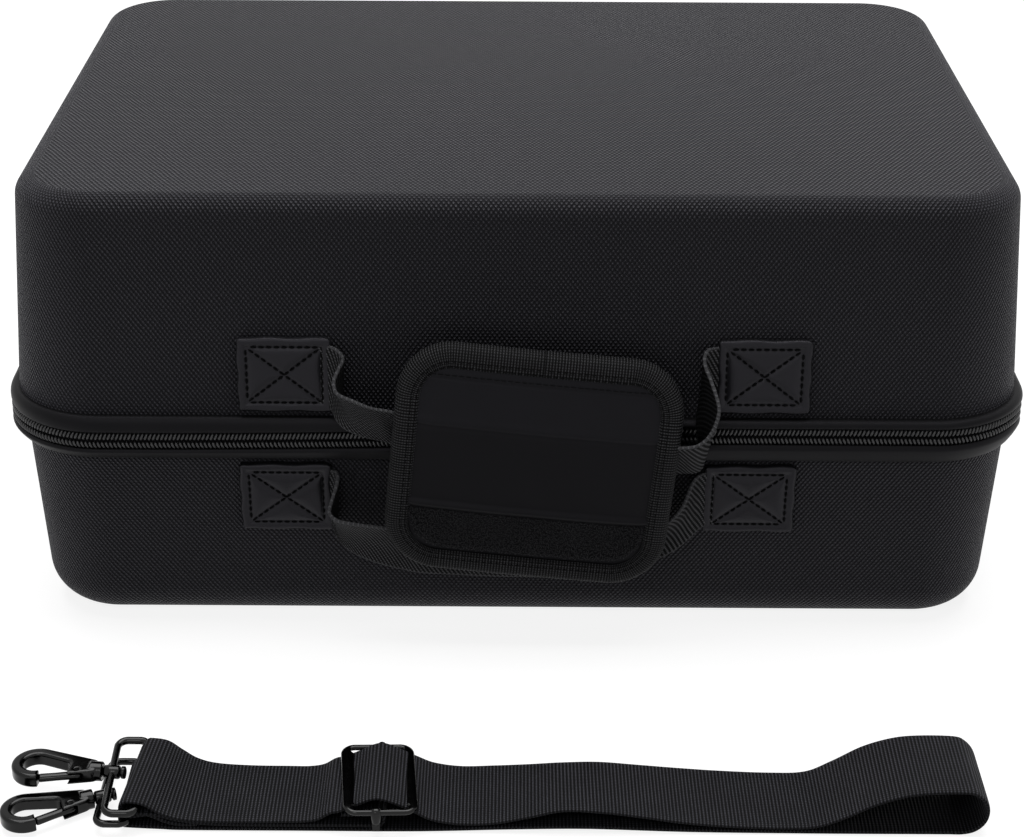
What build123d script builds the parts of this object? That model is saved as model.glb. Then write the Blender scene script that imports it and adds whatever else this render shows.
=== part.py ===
from build123d import *
from math import cos, radians, sin, tan
import os

# Sizes are in millimetres. The case stands on its bottom at Z = 0, +X is right,
# -Y is the front with the handles, +Z is up.

# case halves
case_height = 207.0
seam_z = 98.0
half_width = 225.0
half_depth = 163.0
lower_step = 2.5
upper_draft = 3.9
lower_draft = 3.5
corner_radius = 42.0
top_edge_radius = 14.0
bottom_edge_radius = 20.0
wall = 5.0
seam_gap = 0.3

# zip and flange
coil_height = 3.1
coil_depth = 2.0
tape_depth = 1.2
upper_band = 8.0
lower_band = 7.0
flange_out = 3.5
band_edge_radius = 1.4
band_slope = 3.2
hinge_strip_width = 300.0
hinge_strip_thickness = 1.0
hinge_strip_lap = 6.0
hinge_strip_corner = 2.0
hinge_strip_ends = 5.0

# zip sliders and pullers
slider_length = 11.0
slider_height = 9.0
slider_thickness = 2.0
slider_clearance = 0.4
slider_pitch = 13.0
slider_park_y = 75.0
lug_thickness = 1.5
lug_half = 1.8
pin_radius = 0.8
eye_clearance = 0.3
eye_wall = 1.0
puller_width = 7.0
puller_length = 26.0
puller_thickness = 1.6

# leather patches and handle webbing
patch_width = 41.0
patch_height = 30.0
patch_corner = 2.5
leather = 2.0
patch_x = 103.0
upper_patch_z = 128.5
lower_patch_z = 68.0
handle_web = 28.0
web_thickness = 1.8
web_tail = 34.0
handle_stand = 12.0
handle_first = 7.0
handle_rise = 0.24
handle_fall = 0.5
handle_steps = 10
handle_sections = 31
upper_sag = 32.0
lower_sag = 25.0

# grip pad, hanging open from the upper handle
pad_x = 8.0
pad_tilt = 5.6
pad_width = 128.0
pad_up = 40.0
pad_down = 70.0
pad_corner = 24.0
pad_thickness = 6.0
pad_crease_z = 109.0
pad_lean_in = 10.0
pad_hang_in = 4.0
pad_press = 0.6
binding_width = 10.0
binding_lip = 0.8
strip_height = 20.0
strip_thickness = 1.2
hook_strip_width = 84.0

# side tabs and rings for the shoulder strap
ring_y = -50.0
side_tab_z = 56.0
tab_width = 20.0
tab_tail = 18.0
side_patch_width = 32.0
side_patch_height = 22.0
wire_radius = 2.0
wire_clearance = 0.4
tab_thickness = 1.4
d_ring_width = 30.0
d_ring_drop = 22.0
d_bar_bend = 3.0
d_bow_bend = 10.0

# inside
foam_clearance = 0.5
tray_height = 90.0
tray_floor = 18.0
nest_width = 285.0
nest_depth = 250.0
nest_x = -48.0
pocket_width = 84.0
pocket_depth = 118.0
pocket_x = 146.0
pocket_y = 66.0
pocket_radius = 14.0
net_width = 360.0
net_depth = 230.0
net_drop = 16.0
net_rib = 3.0
net_sheet = 1.0

# shoulder strap, lying folded in front of the case
strap_y = -296.0
strap_width = 38.0
strap_web = 1.6
layer_gap = 0.3
fold_end_x = 187.0
fold_top = 19.0
ring_bar = 1.8
ring_inner = 46.0
ring_length = 9.0
ring_shift = 3.0
upper_ring_x = -149.5
lower_ring_x = -153.0
lower_ring_z = 5.0
strap_bend = 4.0
slow_bend = 40.0
tail_clearance = 3.0
climb = 10.0
hover_end = 30.0
landing = 90.0
ring_bend = 2.2
adjuster_x = -54.5
adjuster_length = 30.0
adjuster_rail = 3.2
adjuster_slot = 41.0
adjuster_thickness = 2.2
adjuster_bar = 1.5

# swivel hooks
hook_end = 41.0
bow_radius = 10.0
neck_radius = 4.6
neck_at = 9.0
hook_stock = 4.6
hook_thickness = 6.0
swivel_radius = 4.0
swivel_half = 3.4
stem_radius = 1.5
rivet_radius = 2.6
rivet_height = 1.6
swivel_clearance = 0.4
gate_clearance = 0.45
gate_thickness = 3.2
gate_stock = 4.0
gate_pivot = 13.5
gate_end = 28.5
gate_pin = 1.0
pin_clearance = 0.3
nose_gap = 0.9
fork = 3.5
eye_start = 19.5
eye_tip = 2.0
hook_round = 1.2
upper_yaw = 5.0
lower_yaw = -22.0


rim_up = seam_z + seam_gap / 2
rim_down = seam_z - seam_gap / 2


def upper_inset(z):
    """How far the upper wall has drawn in at a height."""
    return (z - rim_up) * tan(radians(upper_draft))


def lower_inset(z):
    """How far the lower wall has drawn in at a height, from the upper wall's foot."""
    return lower_step + (rim_down - z) * tan(radians(lower_draft))


def tub(z, half_x, half_y, radius, height, draft, edge_radius):
    """A drafted block with rounded corners and one rounded end face."""
    with BuildPart() as block:
        with BuildSketch(Plane.XY.offset(z)):
            RectangleRounded(2 * half_x, 2 * half_y, radius)
        extrude(amount=height, taper=draft)
        end = block.faces().sort_by(Axis.Z)[-1 if height > 0 else 0]
        fillet(end.edges(), edge_radius)
    return block.part


def rim(z_low, z_high, outset):
    """A solid slab under or over the seam, outset from the upper wall."""
    with BuildPart() as slab:
        with BuildSketch(Plane.XY.offset(z_low)):
            RectangleRounded(2 * (half_width + outset), 2 * (half_depth + outset), corner_radius + outset)
        extrude(amount=z_high - z_low)
    return slab.part


upper_outer = tub(rim_up, half_width, half_depth, corner_radius,
                  case_height - rim_up, upper_draft, top_edge_radius)
upper_core = tub(rim_up, half_width - wall, half_depth - wall, corner_radius - wall,
                 case_height - wall - rim_up, upper_draft, top_edge_radius - wall)
lower_outer = tub(rim_down, half_width - lower_step, half_depth - lower_step,
                  corner_radius - lower_step, -rim_down, lower_draft, bottom_edge_radius)
lower_core = tub(rim_down, half_width - lower_step - wall, half_depth - lower_step - wall,
                 corner_radius - lower_step - wall, wall - rim_down, lower_draft,
                 bottom_edge_radius - wall)

with BuildPart() as upper_shell:
    add(upper_outer)
    add(upper_core, mode=Mode.SUBTRACT)

with BuildPart() as lower_shell:
    add(lower_outer)
    add(lower_core, mode=Mode.SUBTRACT)

# The flange bands, zip tapes and coils run round the rims of the two halves.
# The zip stops at the cloth hinge along the back.
coil_up = seam_z + coil_height
coil_down = seam_z - coil_height
tape_up = rim(rim_up, coil_up, tape_depth)
tape_down = rim(coil_down, rim_down, tape_depth)
band_up = rim(coil_up, coil_up + upper_band, flange_out)
band_down = rim(coil_down - lower_band, coil_down, flange_out)

with BuildPart() as upper_flange_binding:
    add(band_up)
    band_ends = upper_flange_binding.faces().sort_by(Axis.Z)
    fillet(band_ends[0].edges() + band_ends[-1].edges(), band_edge_radius)
    add(upper_outer, mode=Mode.SUBTRACT)

with BuildPart() as lower_flange_binding:
    add(band_down)
    band_ends = lower_flange_binding.faces().sort_by(Axis.Z)
    fillet(band_ends[-1].edges(), band_edge_radius)
    chamfer(lower_flange_binding.faces().sort_by(Axis.Z)[0].edges(), band_slope)
    add(lower_outer, mode=Mode.SUBTRACT)

with BuildPart() as hinge_cut:
    with BuildSketch(Plane.XY.offset(coil_down)):
        with Locations((0, half_depth)):
            Rectangle(hinge_strip_width + 2 * hinge_strip_ends, half_depth)
    extrude(amount=coil_up - coil_down)

with BuildPart() as upper_zip_tape:
    add(tape_up)
    add(upper_outer, mode=Mode.SUBTRACT)
    add(hinge_cut.part, mode=Mode.SUBTRACT)

with BuildPart() as lower_zip_tape:
    add(tape_down)
    add(lower_outer, mode=Mode.SUBTRACT)
    add(hinge_cut.part, mode=Mode.SUBTRACT)

coil_block_up = rim(rim_up, coil_up, tape_depth + coil_depth)
coil_block_down = rim(coil_down, rim_down, tape_depth + coil_depth)

with BuildPart() as upper_zip_coil:
    add(coil_block_up)
    add(tape_up, mode=Mode.SUBTRACT)
    add(hinge_cut.part, mode=Mode.SUBTRACT)

with BuildPart() as lower_zip_coil:
    add(coil_block_down)
    add(tape_down, mode=Mode.SUBTRACT)
    add(hinge_cut.part, mode=Mode.SUBTRACT)

with BuildPart() as hinge_strip:
    with BuildSketch(Plane.XZ.offset(-(half_depth + flange_out + hinge_strip_thickness))):
        with Locations((0, seam_z)):
            RectangleRounded(hinge_strip_width, 2 * (coil_height + hinge_strip_lap), hinge_strip_corner)
    extrude(amount=hinge_strip_thickness)


# Two sliders are parked mouth to mouth on the right side of the zip, their pullers hanging.
slider_x = half_width + flange_out + slider_clearance
eye_radius = pin_radius + eye_clearance
pin_x = slider_x + slider_thickness + eye_radius + eye_wall + slider_clearance
lug_y = puller_width / 2 + eye_clearance + lug_thickness


def zip_slider(y):
    with BuildPart() as slider:
        with BuildSketch(Plane.YZ.offset(slider_x)):
            with Locations((y, seam_z)):
                RectangleRounded(slider_length, slider_height, 2)
        extrude(amount=slider_thickness)
        for side in (lug_y, lug_thickness - lug_y):
            with BuildSketch(Plane.XZ.offset(-(y + side))):
                with Locations(((slider_x + pin_x + lug_half) / 2, seam_z)):
                    Rectangle(pin_x + lug_half - slider_x, 2 * lug_half)
            extrude(amount=lug_thickness)
        with BuildSketch(Plane.XZ.offset(-(y + lug_y))):
            with Locations((pin_x, seam_z)):
                Circle(pin_radius)
        extrude(amount=2 * lug_y)
    return slider


def zip_puller(y):
    with BuildPart() as puller:
        with BuildSketch(Plane.XZ.offset(-(y + puller_width / 2))):
            with Locations((pin_x, seam_z)):
                Circle(eye_radius + eye_wall)
            with Locations((pin_x, seam_z - puller_length / 2)):
                Rectangle(puller_thickness, puller_length)
            with Locations((pin_x, seam_z)):
                Circle(eye_radius, mode=Mode.SUBTRACT)
        extrude(amount=puller_width)
        with BuildSketch(Plane.YZ.offset(pin_x - puller_thickness)):
            with Locations((y, seam_z - puller_length + puller_width)):
                SlotOverall(puller_width + 3, 3, rotation=90)
        extrude(amount=2 * puller_thickness, mode=Mode.SUBTRACT)
    return puller


front_zip_slider = zip_slider(slider_park_y)
rear_zip_slider = zip_slider(slider_park_y + slider_pitch)
front_zip_puller = zip_puller(slider_park_y)
rear_zip_puller = zip_puller(slider_park_y + slider_pitch)


# Handle: two webbing loops, each end under a leather patch sewn to the front wall.
def upper_front(x, z):
    slope = radians(upper_draft)
    return Plane((x, upper_inset(z) - half_depth, z), (1, 0, 0), (0, -cos(slope), sin(slope)))


def lower_front(x, z):
    slope = radians(lower_draft)
    return Plane((x, lower_inset(z) - half_depth, z), (1, 0, 0), (0, -cos(slope), -sin(slope)))


def ease(t):
    t = min(max(t, 0), 1)
    return t * t * (3 - 2 * t)


def handle_path(patch, sag):
    """Centre line of one webbing loop, from under one patch to under the other."""
    lift = web_thickness / 2
    span = patch_x - patch_width / 2
    left_half = [(-web_tail / 2, 0, lift), (0, 0, lift)]
    for step in range(handle_steps):
        t = step / handle_steps
        out = handle_first * ease(t / handle_rise)
        out += (handle_stand - handle_first) * ease((t - handle_rise) / handle_fall)
        left_half.append((patch_width / 2 + t * span, -sag * ease(t / handle_fall), lift + out))
    points = [patch.from_local_coords(Vector(*p)) for p in left_half]
    return points + [Vector(-p.X, p.Y, p.Z) for p in reversed(points)]


def handle_webbing(patch, sag, block):
    """Flat webbing along the path, clear of the wall block behind it."""
    with BuildPart() as webbing:
        with BuildLine(mode=Mode.PRIVATE) as path:
            Spline(*handle_path(patch, sag), tangents=[(1, 0, 0), (1, 0, 0)])
        for i in range(handle_sections):
            at = i / (handle_sections - 1)
            heading = path.line % at
            across = heading.cross(patch.z_dir).normalized()
            with BuildSketch(Plane(path.line @ at, across, heading)):
                Rectangle(handle_web, web_thickness)
        loft()
        add(block, mode=Mode.SUBTRACT)
    return webbing


upper_handle_webbing = handle_webbing(upper_front(-patch_x, upper_patch_z), upper_sag, upper_outer)
lower_handle_webbing = handle_webbing(lower_front(-patch_x, lower_patch_z), lower_sag, lower_outer)


def leather_patch(plane, webbing):
    """A patch that lies on the wall and covers the end of a piece of webbing."""
    with BuildPart() as patch:
        with BuildSketch(plane):
            RectangleRounded(patch_width, patch_height + 2 * leather, patch_corner)
        extrude(amount=web_thickness + leather)
        fillet(patch.faces().sort_by(Axis.Y)[0].edges(), leather / 2)
        add(webbing.part, mode=Mode.SUBTRACT)
    return patch


upper_left_patch = leather_patch(upper_front(-patch_x, upper_patch_z), upper_handle_webbing)
upper_right_patch = leather_patch(upper_front(patch_x, upper_patch_z), upper_handle_webbing)
lower_left_patch = leather_patch(lower_front(-patch_x, lower_patch_z), lower_handle_webbing)
lower_right_patch = leather_patch(lower_front(patch_x, lower_patch_z), lower_handle_webbing)


# Grip pad: a bent cushion on a plane tilted in the front view, creased over the handle.
tilt = radians(pad_tilt)
pad_along = (cos(tilt), 0, -sin(tilt))
pad_front = Plane((pad_x, 0, pad_crease_z), pad_along, (0, -1, 0))
pad_side = Plane((pad_x, 0, pad_crease_z), (0, 1, 0), pad_along)
handle_front = half_depth + handle_stand + web_thickness
pad_crease_y = pad_press - handle_front - pad_thickness


def pad_surface(up):
    if up > 0:
        return pad_crease_y + pad_lean_in * up / pad_up
    return pad_crease_y - pad_hang_in * up / pad_down


def pad_slab(near, far, low, high, inset, width=pad_width):
    """A bent layer of the pad between two depths, trimmed to its outline."""
    with BuildPart() as slab:
        with BuildSketch(pad_side):
            with BuildLine():
                ups = [low, 0, high] if low < 0 < high else [low, high]
                front_edge = [(pad_surface(up) + near, up) for up in ups]
                back_edge = [(pad_surface(up) + far, up) for up in reversed(ups)]
                Polyline(*front_edge, *back_edge, close=True)
            make_face()
        extrude(amount=width / 2, both=True)
        with BuildSketch(pad_front.offset(half_depth - wall)):
            with Locations((0, (pad_up - pad_down) / 2)):
                RectangleRounded(pad_width - 2 * inset, pad_up + pad_down - 2 * inset, pad_corner - inset)
        extrude(amount=handle_stand * 4, mode=Mode.INTERSECT)
    return slab.part


pad_body = pad_slab(0, pad_thickness, -pad_down, pad_up, binding_lip)
pad_sleeve = pad_slab(-binding_lip, pad_thickness + binding_lip, -pad_down, pad_up, 0)
pad_window = pad_slab(-binding_width, pad_thickness + binding_width, -pad_down, pad_up, binding_width)
strip_low = binding_width - pad_down
strip_high = pad_up - binding_width
loop_layer = pad_slab(-strip_thickness, 0, strip_low, strip_low + strip_height, binding_width)
hook_layer = pad_slab(pad_thickness, pad_thickness + strip_thickness, strip_high - strip_height,
                      strip_high, binding_width, hook_strip_width)

with BuildPart() as grip_pad:
    add(pad_body)
    add(upper_handle_webbing.part, mode=Mode.SUBTRACT)

with BuildPart() as grip_binding:
    add(pad_sleeve)
    add(pad_window, mode=Mode.SUBTRACT)
    add(pad_body, mode=Mode.SUBTRACT)
    add(upper_handle_webbing.part, mode=Mode.SUBTRACT)

with BuildPart() as grip_loop_strip:
    add(loop_layer)

with BuildPart() as grip_hook_strip:
    add(hook_layer)
    add(upper_handle_webbing.part, mode=Mode.SUBTRACT)


# Side tabs: a webbing loop under a patch on each side wall holds a wire ring.
def wire_ring(corner, along, down, width, drop, radius, near_bend, far_bend):
    """A round wire bent to a rounded rectangle that starts on its bar."""
    with BuildPart() as ring:
        with BuildLine(Plane(corner, along, along.cross(down))) as bend:
            half = width / 2
            FilletPolyline((0, 0), (half, 0), (half, drop), (-half, drop), (-half, 0),
                           radius=[0, near_bend, far_bend, far_bend, near_bend], close=True)
        with BuildSketch(Plane(corner, down, along)):
            Circle(radius)
        sweep(path=bend.line)
    return ring


lower_slope = radians(lower_draft)
side_out = Vector(cos(lower_slope), 0, -sin(lower_slope))
side_up = Vector(sin(lower_slope), 0, cos(lower_slope))
side_point = Vector(half_width - lower_inset(side_tab_z), ring_y, side_tab_z)
tab_loop = wire_radius + wire_clearance + tab_thickness
tab_edge = Plane(side_point + Vector(0, tab_width / 2, 0), side_out, (0, -1, 0))

with BuildPart() as right_side_tab:
    with BuildSketch(tab_edge):
        with Locations((tab_loop, 0)):
            Circle(tab_loop)
        with Locations((tab_thickness / 2, tab_tail / 2)):
            Rectangle(tab_thickness, tab_tail)
        with Locations((tab_loop, 0)):
            Circle(tab_loop - tab_thickness, mode=Mode.SUBTRACT)
    extrude(amount=tab_width)

with BuildPart() as right_side_patch:
    with BuildSketch(Plane(side_point, (0, 1, 0), side_out)):
        with Locations((0, tab_loop + 1 + side_patch_height / 2)):
            RectangleRounded(side_patch_width, side_patch_height, patch_corner)
    extrude(amount=tab_thickness + leather)
    fillet(right_side_patch.faces().sort_by(Axis.X)[-1].edges(), leather / 2)
    add(right_side_tab.part, mode=Mode.SUBTRACT)

right_d_ring = wire_ring(side_point + side_out * tab_loop, Vector(0, 1, 0), -side_up,
                         d_ring_width, d_ring_drop, wire_radius, d_bar_bend, d_bow_bend)

with BuildPart() as left_side_tab:
    add(right_side_tab.part.mirror(Plane.YZ))

with BuildPart() as left_side_patch:
    add(right_side_patch.part.mirror(Plane.YZ))

with BuildPart() as left_d_ring:
    add(right_d_ring.part.mirror(Plane.YZ))

# Inside: a foam tray with nests in the lower half, a net pocket under the lid.
tray_inset = lower_inset(tray_height) + wall + foam_clearance
tray_block = tub(tray_height, half_width - tray_inset, half_depth - tray_inset, corner_radius - tray_inset,
                 wall - tray_height, lower_draft, bottom_edge_radius - wall)

with BuildPart() as console_tray:
    add(tray_block)
    with BuildSketch(Plane.XY.offset(tray_floor)):
        with Locations((nest_x, 0)):
            RectangleRounded(nest_width, nest_depth, pocket_radius)
        with Locations((pocket_x, pocket_y), (pocket_x, -pocket_y)):
            RectangleRounded(pocket_width, pocket_depth, pocket_radius)
    extrude(amount=tray_height - tray_floor, mode=Mode.SUBTRACT)

lid_ceiling = case_height - wall

with BuildPart() as net_gusset:
    with BuildSketch(Plane.XY.offset(lid_ceiling - net_drop)):
        Rectangle(net_width, net_depth)
        with Locations((0, -net_rib)):
            Rectangle(net_width - 2 * net_rib, net_depth, mode=Mode.SUBTRACT)
    extrude(amount=net_drop)

with BuildPart() as lid_net_pocket:
    with BuildSketch(Plane.XY.offset(lid_ceiling - net_drop - net_sheet)):
        Rectangle(net_width, net_depth)
    extrude(amount=net_sheet)

# Shoulder strap: one webbing, folded in half, each end sewn round a ring of a hook.
# Its layers are stacked from the floor up.
layer = strap_web + layer_gap
floor_z = strap_web / 2
second_z = floor_z + layer
third_z = second_z + layer
ring_wrap = ring_bar + layer_gap + strap_web / 2
bar_wrap = adjuster_bar + layer_gap + strap_web / 2
adjuster_bar_z = second_z + bar_wrap
tail_z = adjuster_bar_z + bar_wrap
over_z = tail_z + layer
lower_loop_top = lower_ring_z + ring_wrap
upper_ring_z = lower_loop_top + layer + ring_wrap
fold_radius = (fold_top - strap_web) / 2
loop_run = 6.0
ramp = 16.0
lower_end = lower_ring_x + loop_run
upper_end = upper_ring_x + loop_run
half_frame = adjuster_length / 2
tail_end = adjuster_x - half_frame - tail_clearance
snug = 0.98

with BuildPart() as strap_webbing:
    with BuildSketch(Plane.XZ.offset(-(strap_y + strap_width / 2))):
        with BuildLine() as strap_path:
            bends = [
                (adjuster_x - half_frame, tail_z, 0),
                (adjuster_x + bar_wrap, tail_z, bar_wrap * snug),
                (adjuster_x + bar_wrap, second_z, bar_wrap * snug),
                (upper_end + ramp + 2, second_z, strap_bend),
                (upper_end, upper_ring_z - ring_wrap, strap_bend),
                (upper_ring_x - ring_wrap, upper_ring_z - ring_wrap, ring_wrap * snug),
                (upper_ring_x - ring_wrap, upper_ring_z + ring_wrap, ring_wrap * snug),
                (upper_end, upper_ring_z + ring_wrap, strap_bend),
                (upper_end + 1.5 * ramp, third_z, strap_bend),
                (tail_end - climb, third_z, strap_bend),
                (tail_end, over_z, strap_bend),
                (hover_end, over_z, slow_bend),
                (landing, second_z, slow_bend),
                (fold_end_x - 4 * ramp, second_z, 2 * ramp),
                (fold_end_x - ramp, fold_top - floor_z, strap_bend),
                (fold_end_x, fold_top - floor_z, fold_radius * snug),
                (fold_end_x, floor_z, fold_radius * snug),
                (lower_end + ramp / 2, floor_z, strap_bend),
                (lower_end, lower_ring_z - ring_wrap, strap_bend),
                (lower_ring_x - ring_wrap, lower_ring_z - ring_wrap, ring_wrap * snug),
                (lower_ring_x - ring_wrap, lower_ring_z + ring_wrap, ring_wrap * snug),
                (lower_end, lower_ring_z + ring_wrap, strap_bend / 2),
                (lower_end + ramp / 2, second_z, strap_bend / 2),
                (lower_end + ramp, second_z, 0),
            ]
            FilletPolyline(*[(x, z) for x, z, _ in bends], radius=[bend for _, _, bend in bends[1:-1]])
        trace(line_width=strap_web)
    extrude(amount=strap_width)

frame_z = over_z + strap_web / 2 + layer_gap
post_y = (adjuster_slot + adjuster_rail) / 2

with BuildPart() as strap_adjuster_frame:
    with BuildSketch(Plane.XY.offset(frame_z)):
        with Locations((adjuster_x, strap_y)):
            RectangleRounded(adjuster_length, adjuster_slot + 2 * adjuster_rail, 3)
            RectangleRounded(adjuster_length - 2 * adjuster_rail, adjuster_slot, 1, mode=Mode.SUBTRACT)
    extrude(amount=adjuster_thickness)

with BuildPart() as strap_adjuster_bar:
    with BuildSketch(Plane.XZ.offset(-(strap_y + post_y))):
        with Locations((adjuster_x, adjuster_bar_z)):
            Circle(adjuster_bar)
    extrude(amount=2 * post_y)
    with BuildSketch(Plane.XY.offset(adjuster_bar_z - adjuster_bar)):
        with Locations((adjuster_x, strap_y + post_y), (adjuster_x, strap_y - post_y)):
            Rectangle(2 * adjuster_bar, 2 * adjuster_bar)
    extrude(amount=frame_z - adjuster_bar_z + adjuster_bar)


# Rings and swivel hooks. Each ring has a boss on its free bar that the hook's stem turns in.
ring_pitch = ring_length + 2 * ring_bar


def hook_plane(ring_x, ring_z, shift, yaw):
    """Origin at the boss, X along the stem towards the hook's end, Z up."""
    turn = radians(yaw)
    return Plane((ring_x - ring_pitch, strap_y + shift, ring_z), (-cos(turn), sin(turn), 0), (0, 0, 1))


def strap_ring(ring_x, ring_z, shift, stem_plane):
    centre = Vector(ring_x, strap_y + shift, ring_z)
    ring = wire_ring(centre, Vector(0, 1, 0), Vector(-1, 0, 0), ring_inner + 2 * ring_bar,
                     ring_pitch, ring_bar, ring_bend, ring_bend)
    across = Plane(stem_plane.origin, stem_plane.y_dir, stem_plane.x_dir)
    with BuildPart() as eye:
        add(ring.part)
        with BuildSketch(across.offset(-swivel_half)):
            Circle(swivel_radius)
        extrude(amount=2 * swivel_half)
        with BuildSketch(across.offset(-swivel_half)):
            Circle(stem_radius + swivel_clearance / 2)
        extrude(amount=2 * swivel_half, mode=Mode.SUBTRACT)
    return eye


bow_at = hook_end - bow_radius


def gate_line(u):
    """Distance of the gate arm's centre line from the stem axis."""
    t = (u - neck_at) / (bow_at - neck_at)
    return neck_radius + t * (bow_radius - neck_radius) - hook_stock / 2


def swivel_hook(plane):
    """Teardrop hook with a forked pivot, a turned neck and a riveted stem."""
    across = Plane(plane.origin, plane.y_dir, plane.x_dir)
    tail = swivel_half + swivel_clearance
    pivot_y = gate_line(gate_pivot)
    with BuildPart() as hook:
        with BuildSketch(plane.offset(-hook_thickness / 2)):
            with Locations((neck_at, 0)):
                Circle(neck_radius)
            with Locations((bow_at, 0)):
                Circle(bow_radius)
            make_hull()
        extrude(amount=hook_thickness)
        with BuildSketch(plane.offset(-hook_thickness / 2)):
            with Locations((eye_start, 0)):
                Circle(eye_tip)
            with Locations((bow_at, 0)):
                Circle(bow_radius - hook_stock)
            make_hull()
        extrude(amount=hook_thickness, mode=Mode.SUBTRACT)
        fillet(hook.edges().filter_by(Axis.Z, reverse=True), hook_round)
        with BuildSketch(plane.offset(-hook_thickness)):
            with Locations(((gate_pivot + fork + gate_end) / 2, bow_radius)):
                Rectangle(gate_end - gate_pivot - fork, 2 * bow_radius)
        extrude(amount=2 * hook_thickness, mode=Mode.SUBTRACT)
        with BuildSketch(plane.offset(-gate_thickness / 2 - gate_clearance)):
            with Locations((gate_pivot + fork / 2, pivot_y + gate_stock)):
                Rectangle(fork + gate_stock + 2 * gate_clearance, 4 * gate_stock)
        extrude(amount=gate_thickness + 2 * gate_clearance, mode=Mode.SUBTRACT)
        with BuildSketch(plane.offset(-hook_thickness)):
            with Locations((gate_pivot, pivot_y)):
                Circle(gate_pin)
        extrude(amount=2 * hook_thickness, mode=Mode.SUBTRACT)
        with BuildSketch(across.offset(-tail - rivet_height)):
            Circle(rivet_radius)
        extrude(amount=rivet_height)
        with BuildSketch(across.offset(-tail)):
            Circle(stem_radius)
        extrude(amount=2 * tail)
        with BuildSketch(across.offset(tail)):
            Circle(swivel_radius)
        extrude(amount=neck_at - tail)
    return hook


def hook_gate(plane):
    """Sprung bar that closes the hook, turning on a pin through the fork."""
    tip = gate_end - nose_gap - gate_stock / 2
    with BuildPart() as gate:
        with BuildSketch(plane.offset(-gate_thickness / 2)):
            with Locations((gate_pivot, gate_line(gate_pivot)), (tip, gate_line(tip))):
                Circle(gate_stock / 2)
            make_hull()
            with Locations((gate_pivot, gate_line(gate_pivot))):
                Circle(gate_pin + pin_clearance, mode=Mode.SUBTRACT)
        extrude(amount=gate_thickness)
    return gate


def gate_pivot_pin(plane):
    with BuildPart() as pin:
        with BuildSketch(plane.offset(-hook_thickness / 2)):
            with Locations((gate_pivot, gate_line(gate_pivot))):
                Circle(gate_pin)
        extrude(amount=hook_thickness)
    return pin


upper_stem = hook_plane(upper_ring_x, upper_ring_z, ring_shift, upper_yaw)
lower_stem = hook_plane(lower_ring_x, lower_ring_z, -ring_shift, lower_yaw)
upper_strap_ring = strap_ring(upper_ring_x, upper_ring_z, ring_shift, upper_stem)
lower_strap_ring = strap_ring(lower_ring_x, lower_ring_z, -ring_shift, lower_stem)
upper_hook = swivel_hook(upper_stem)
lower_hook = swivel_hook(lower_stem)
upper_gate = hook_gate(upper_stem)
lower_gate = hook_gate(lower_stem)
upper_gate_pin = gate_pivot_pin(upper_stem)
lower_gate_pin = gate_pivot_pin(lower_stem)

pieces = {
    "upper_shell": upper_shell,
    "lower_shell": lower_shell,
    "upper_flange_binding": upper_flange_binding,
    "lower_flange_binding": lower_flange_binding,
    "upper_zip_tape": upper_zip_tape,
    "lower_zip_tape": lower_zip_tape,
    "upper_zip_coil": upper_zip_coil,
    "lower_zip_coil": lower_zip_coil,
    "hinge_strip": hinge_strip,
    "front_zip_slider": front_zip_slider,
    "rear_zip_slider": rear_zip_slider,
    "front_zip_puller": front_zip_puller,
    "rear_zip_puller": rear_zip_puller,
    "upper_left_patch": upper_left_patch,
    "upper_right_patch": upper_right_patch,
    "lower_left_patch": lower_left_patch,
    "lower_right_patch": lower_right_patch,
    "upper_handle_webbing": upper_handle_webbing,
    "lower_handle_webbing": lower_handle_webbing,
    "grip_pad": grip_pad,
    "grip_binding": grip_binding,
    "grip_loop_strip": grip_loop_strip,
    "grip_hook_strip": grip_hook_strip,
    "left_side_tab": left_side_tab,
    "right_side_tab": right_side_tab,
    "left_side_patch": left_side_patch,
    "right_side_patch": right_side_patch,
    "left_d_ring": left_d_ring,
    "right_d_ring": right_d_ring,
    "console_tray": console_tray,
    "net_gusset": net_gusset,
    "lid_net_pocket": lid_net_pocket,
    "strap_webbing": strap_webbing,
    "strap_adjuster_frame": strap_adjuster_frame,
    "strap_adjuster_bar": strap_adjuster_bar,
    "upper_strap_ring": upper_strap_ring,
    "lower_strap_ring": lower_strap_ring,
    "upper_hook": upper_hook,
    "lower_hook": lower_hook,
    "upper_gate": upper_gate,
    "lower_gate": lower_gate,
    "upper_gate_pin": upper_gate_pin,
    "lower_gate_pin": lower_gate_pin,
}

os.makedirs("parts", exist_ok=True)
for name, piece in pieces.items():
    piece.part.label = name
    export_step(piece.part, f"parts/{name}.step")
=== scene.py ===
from math import cos, hypot, pi, radians, sin, tan

import bmesh
import bpy
import numpy as np
from mathutils import Matrix, Vector


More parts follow.
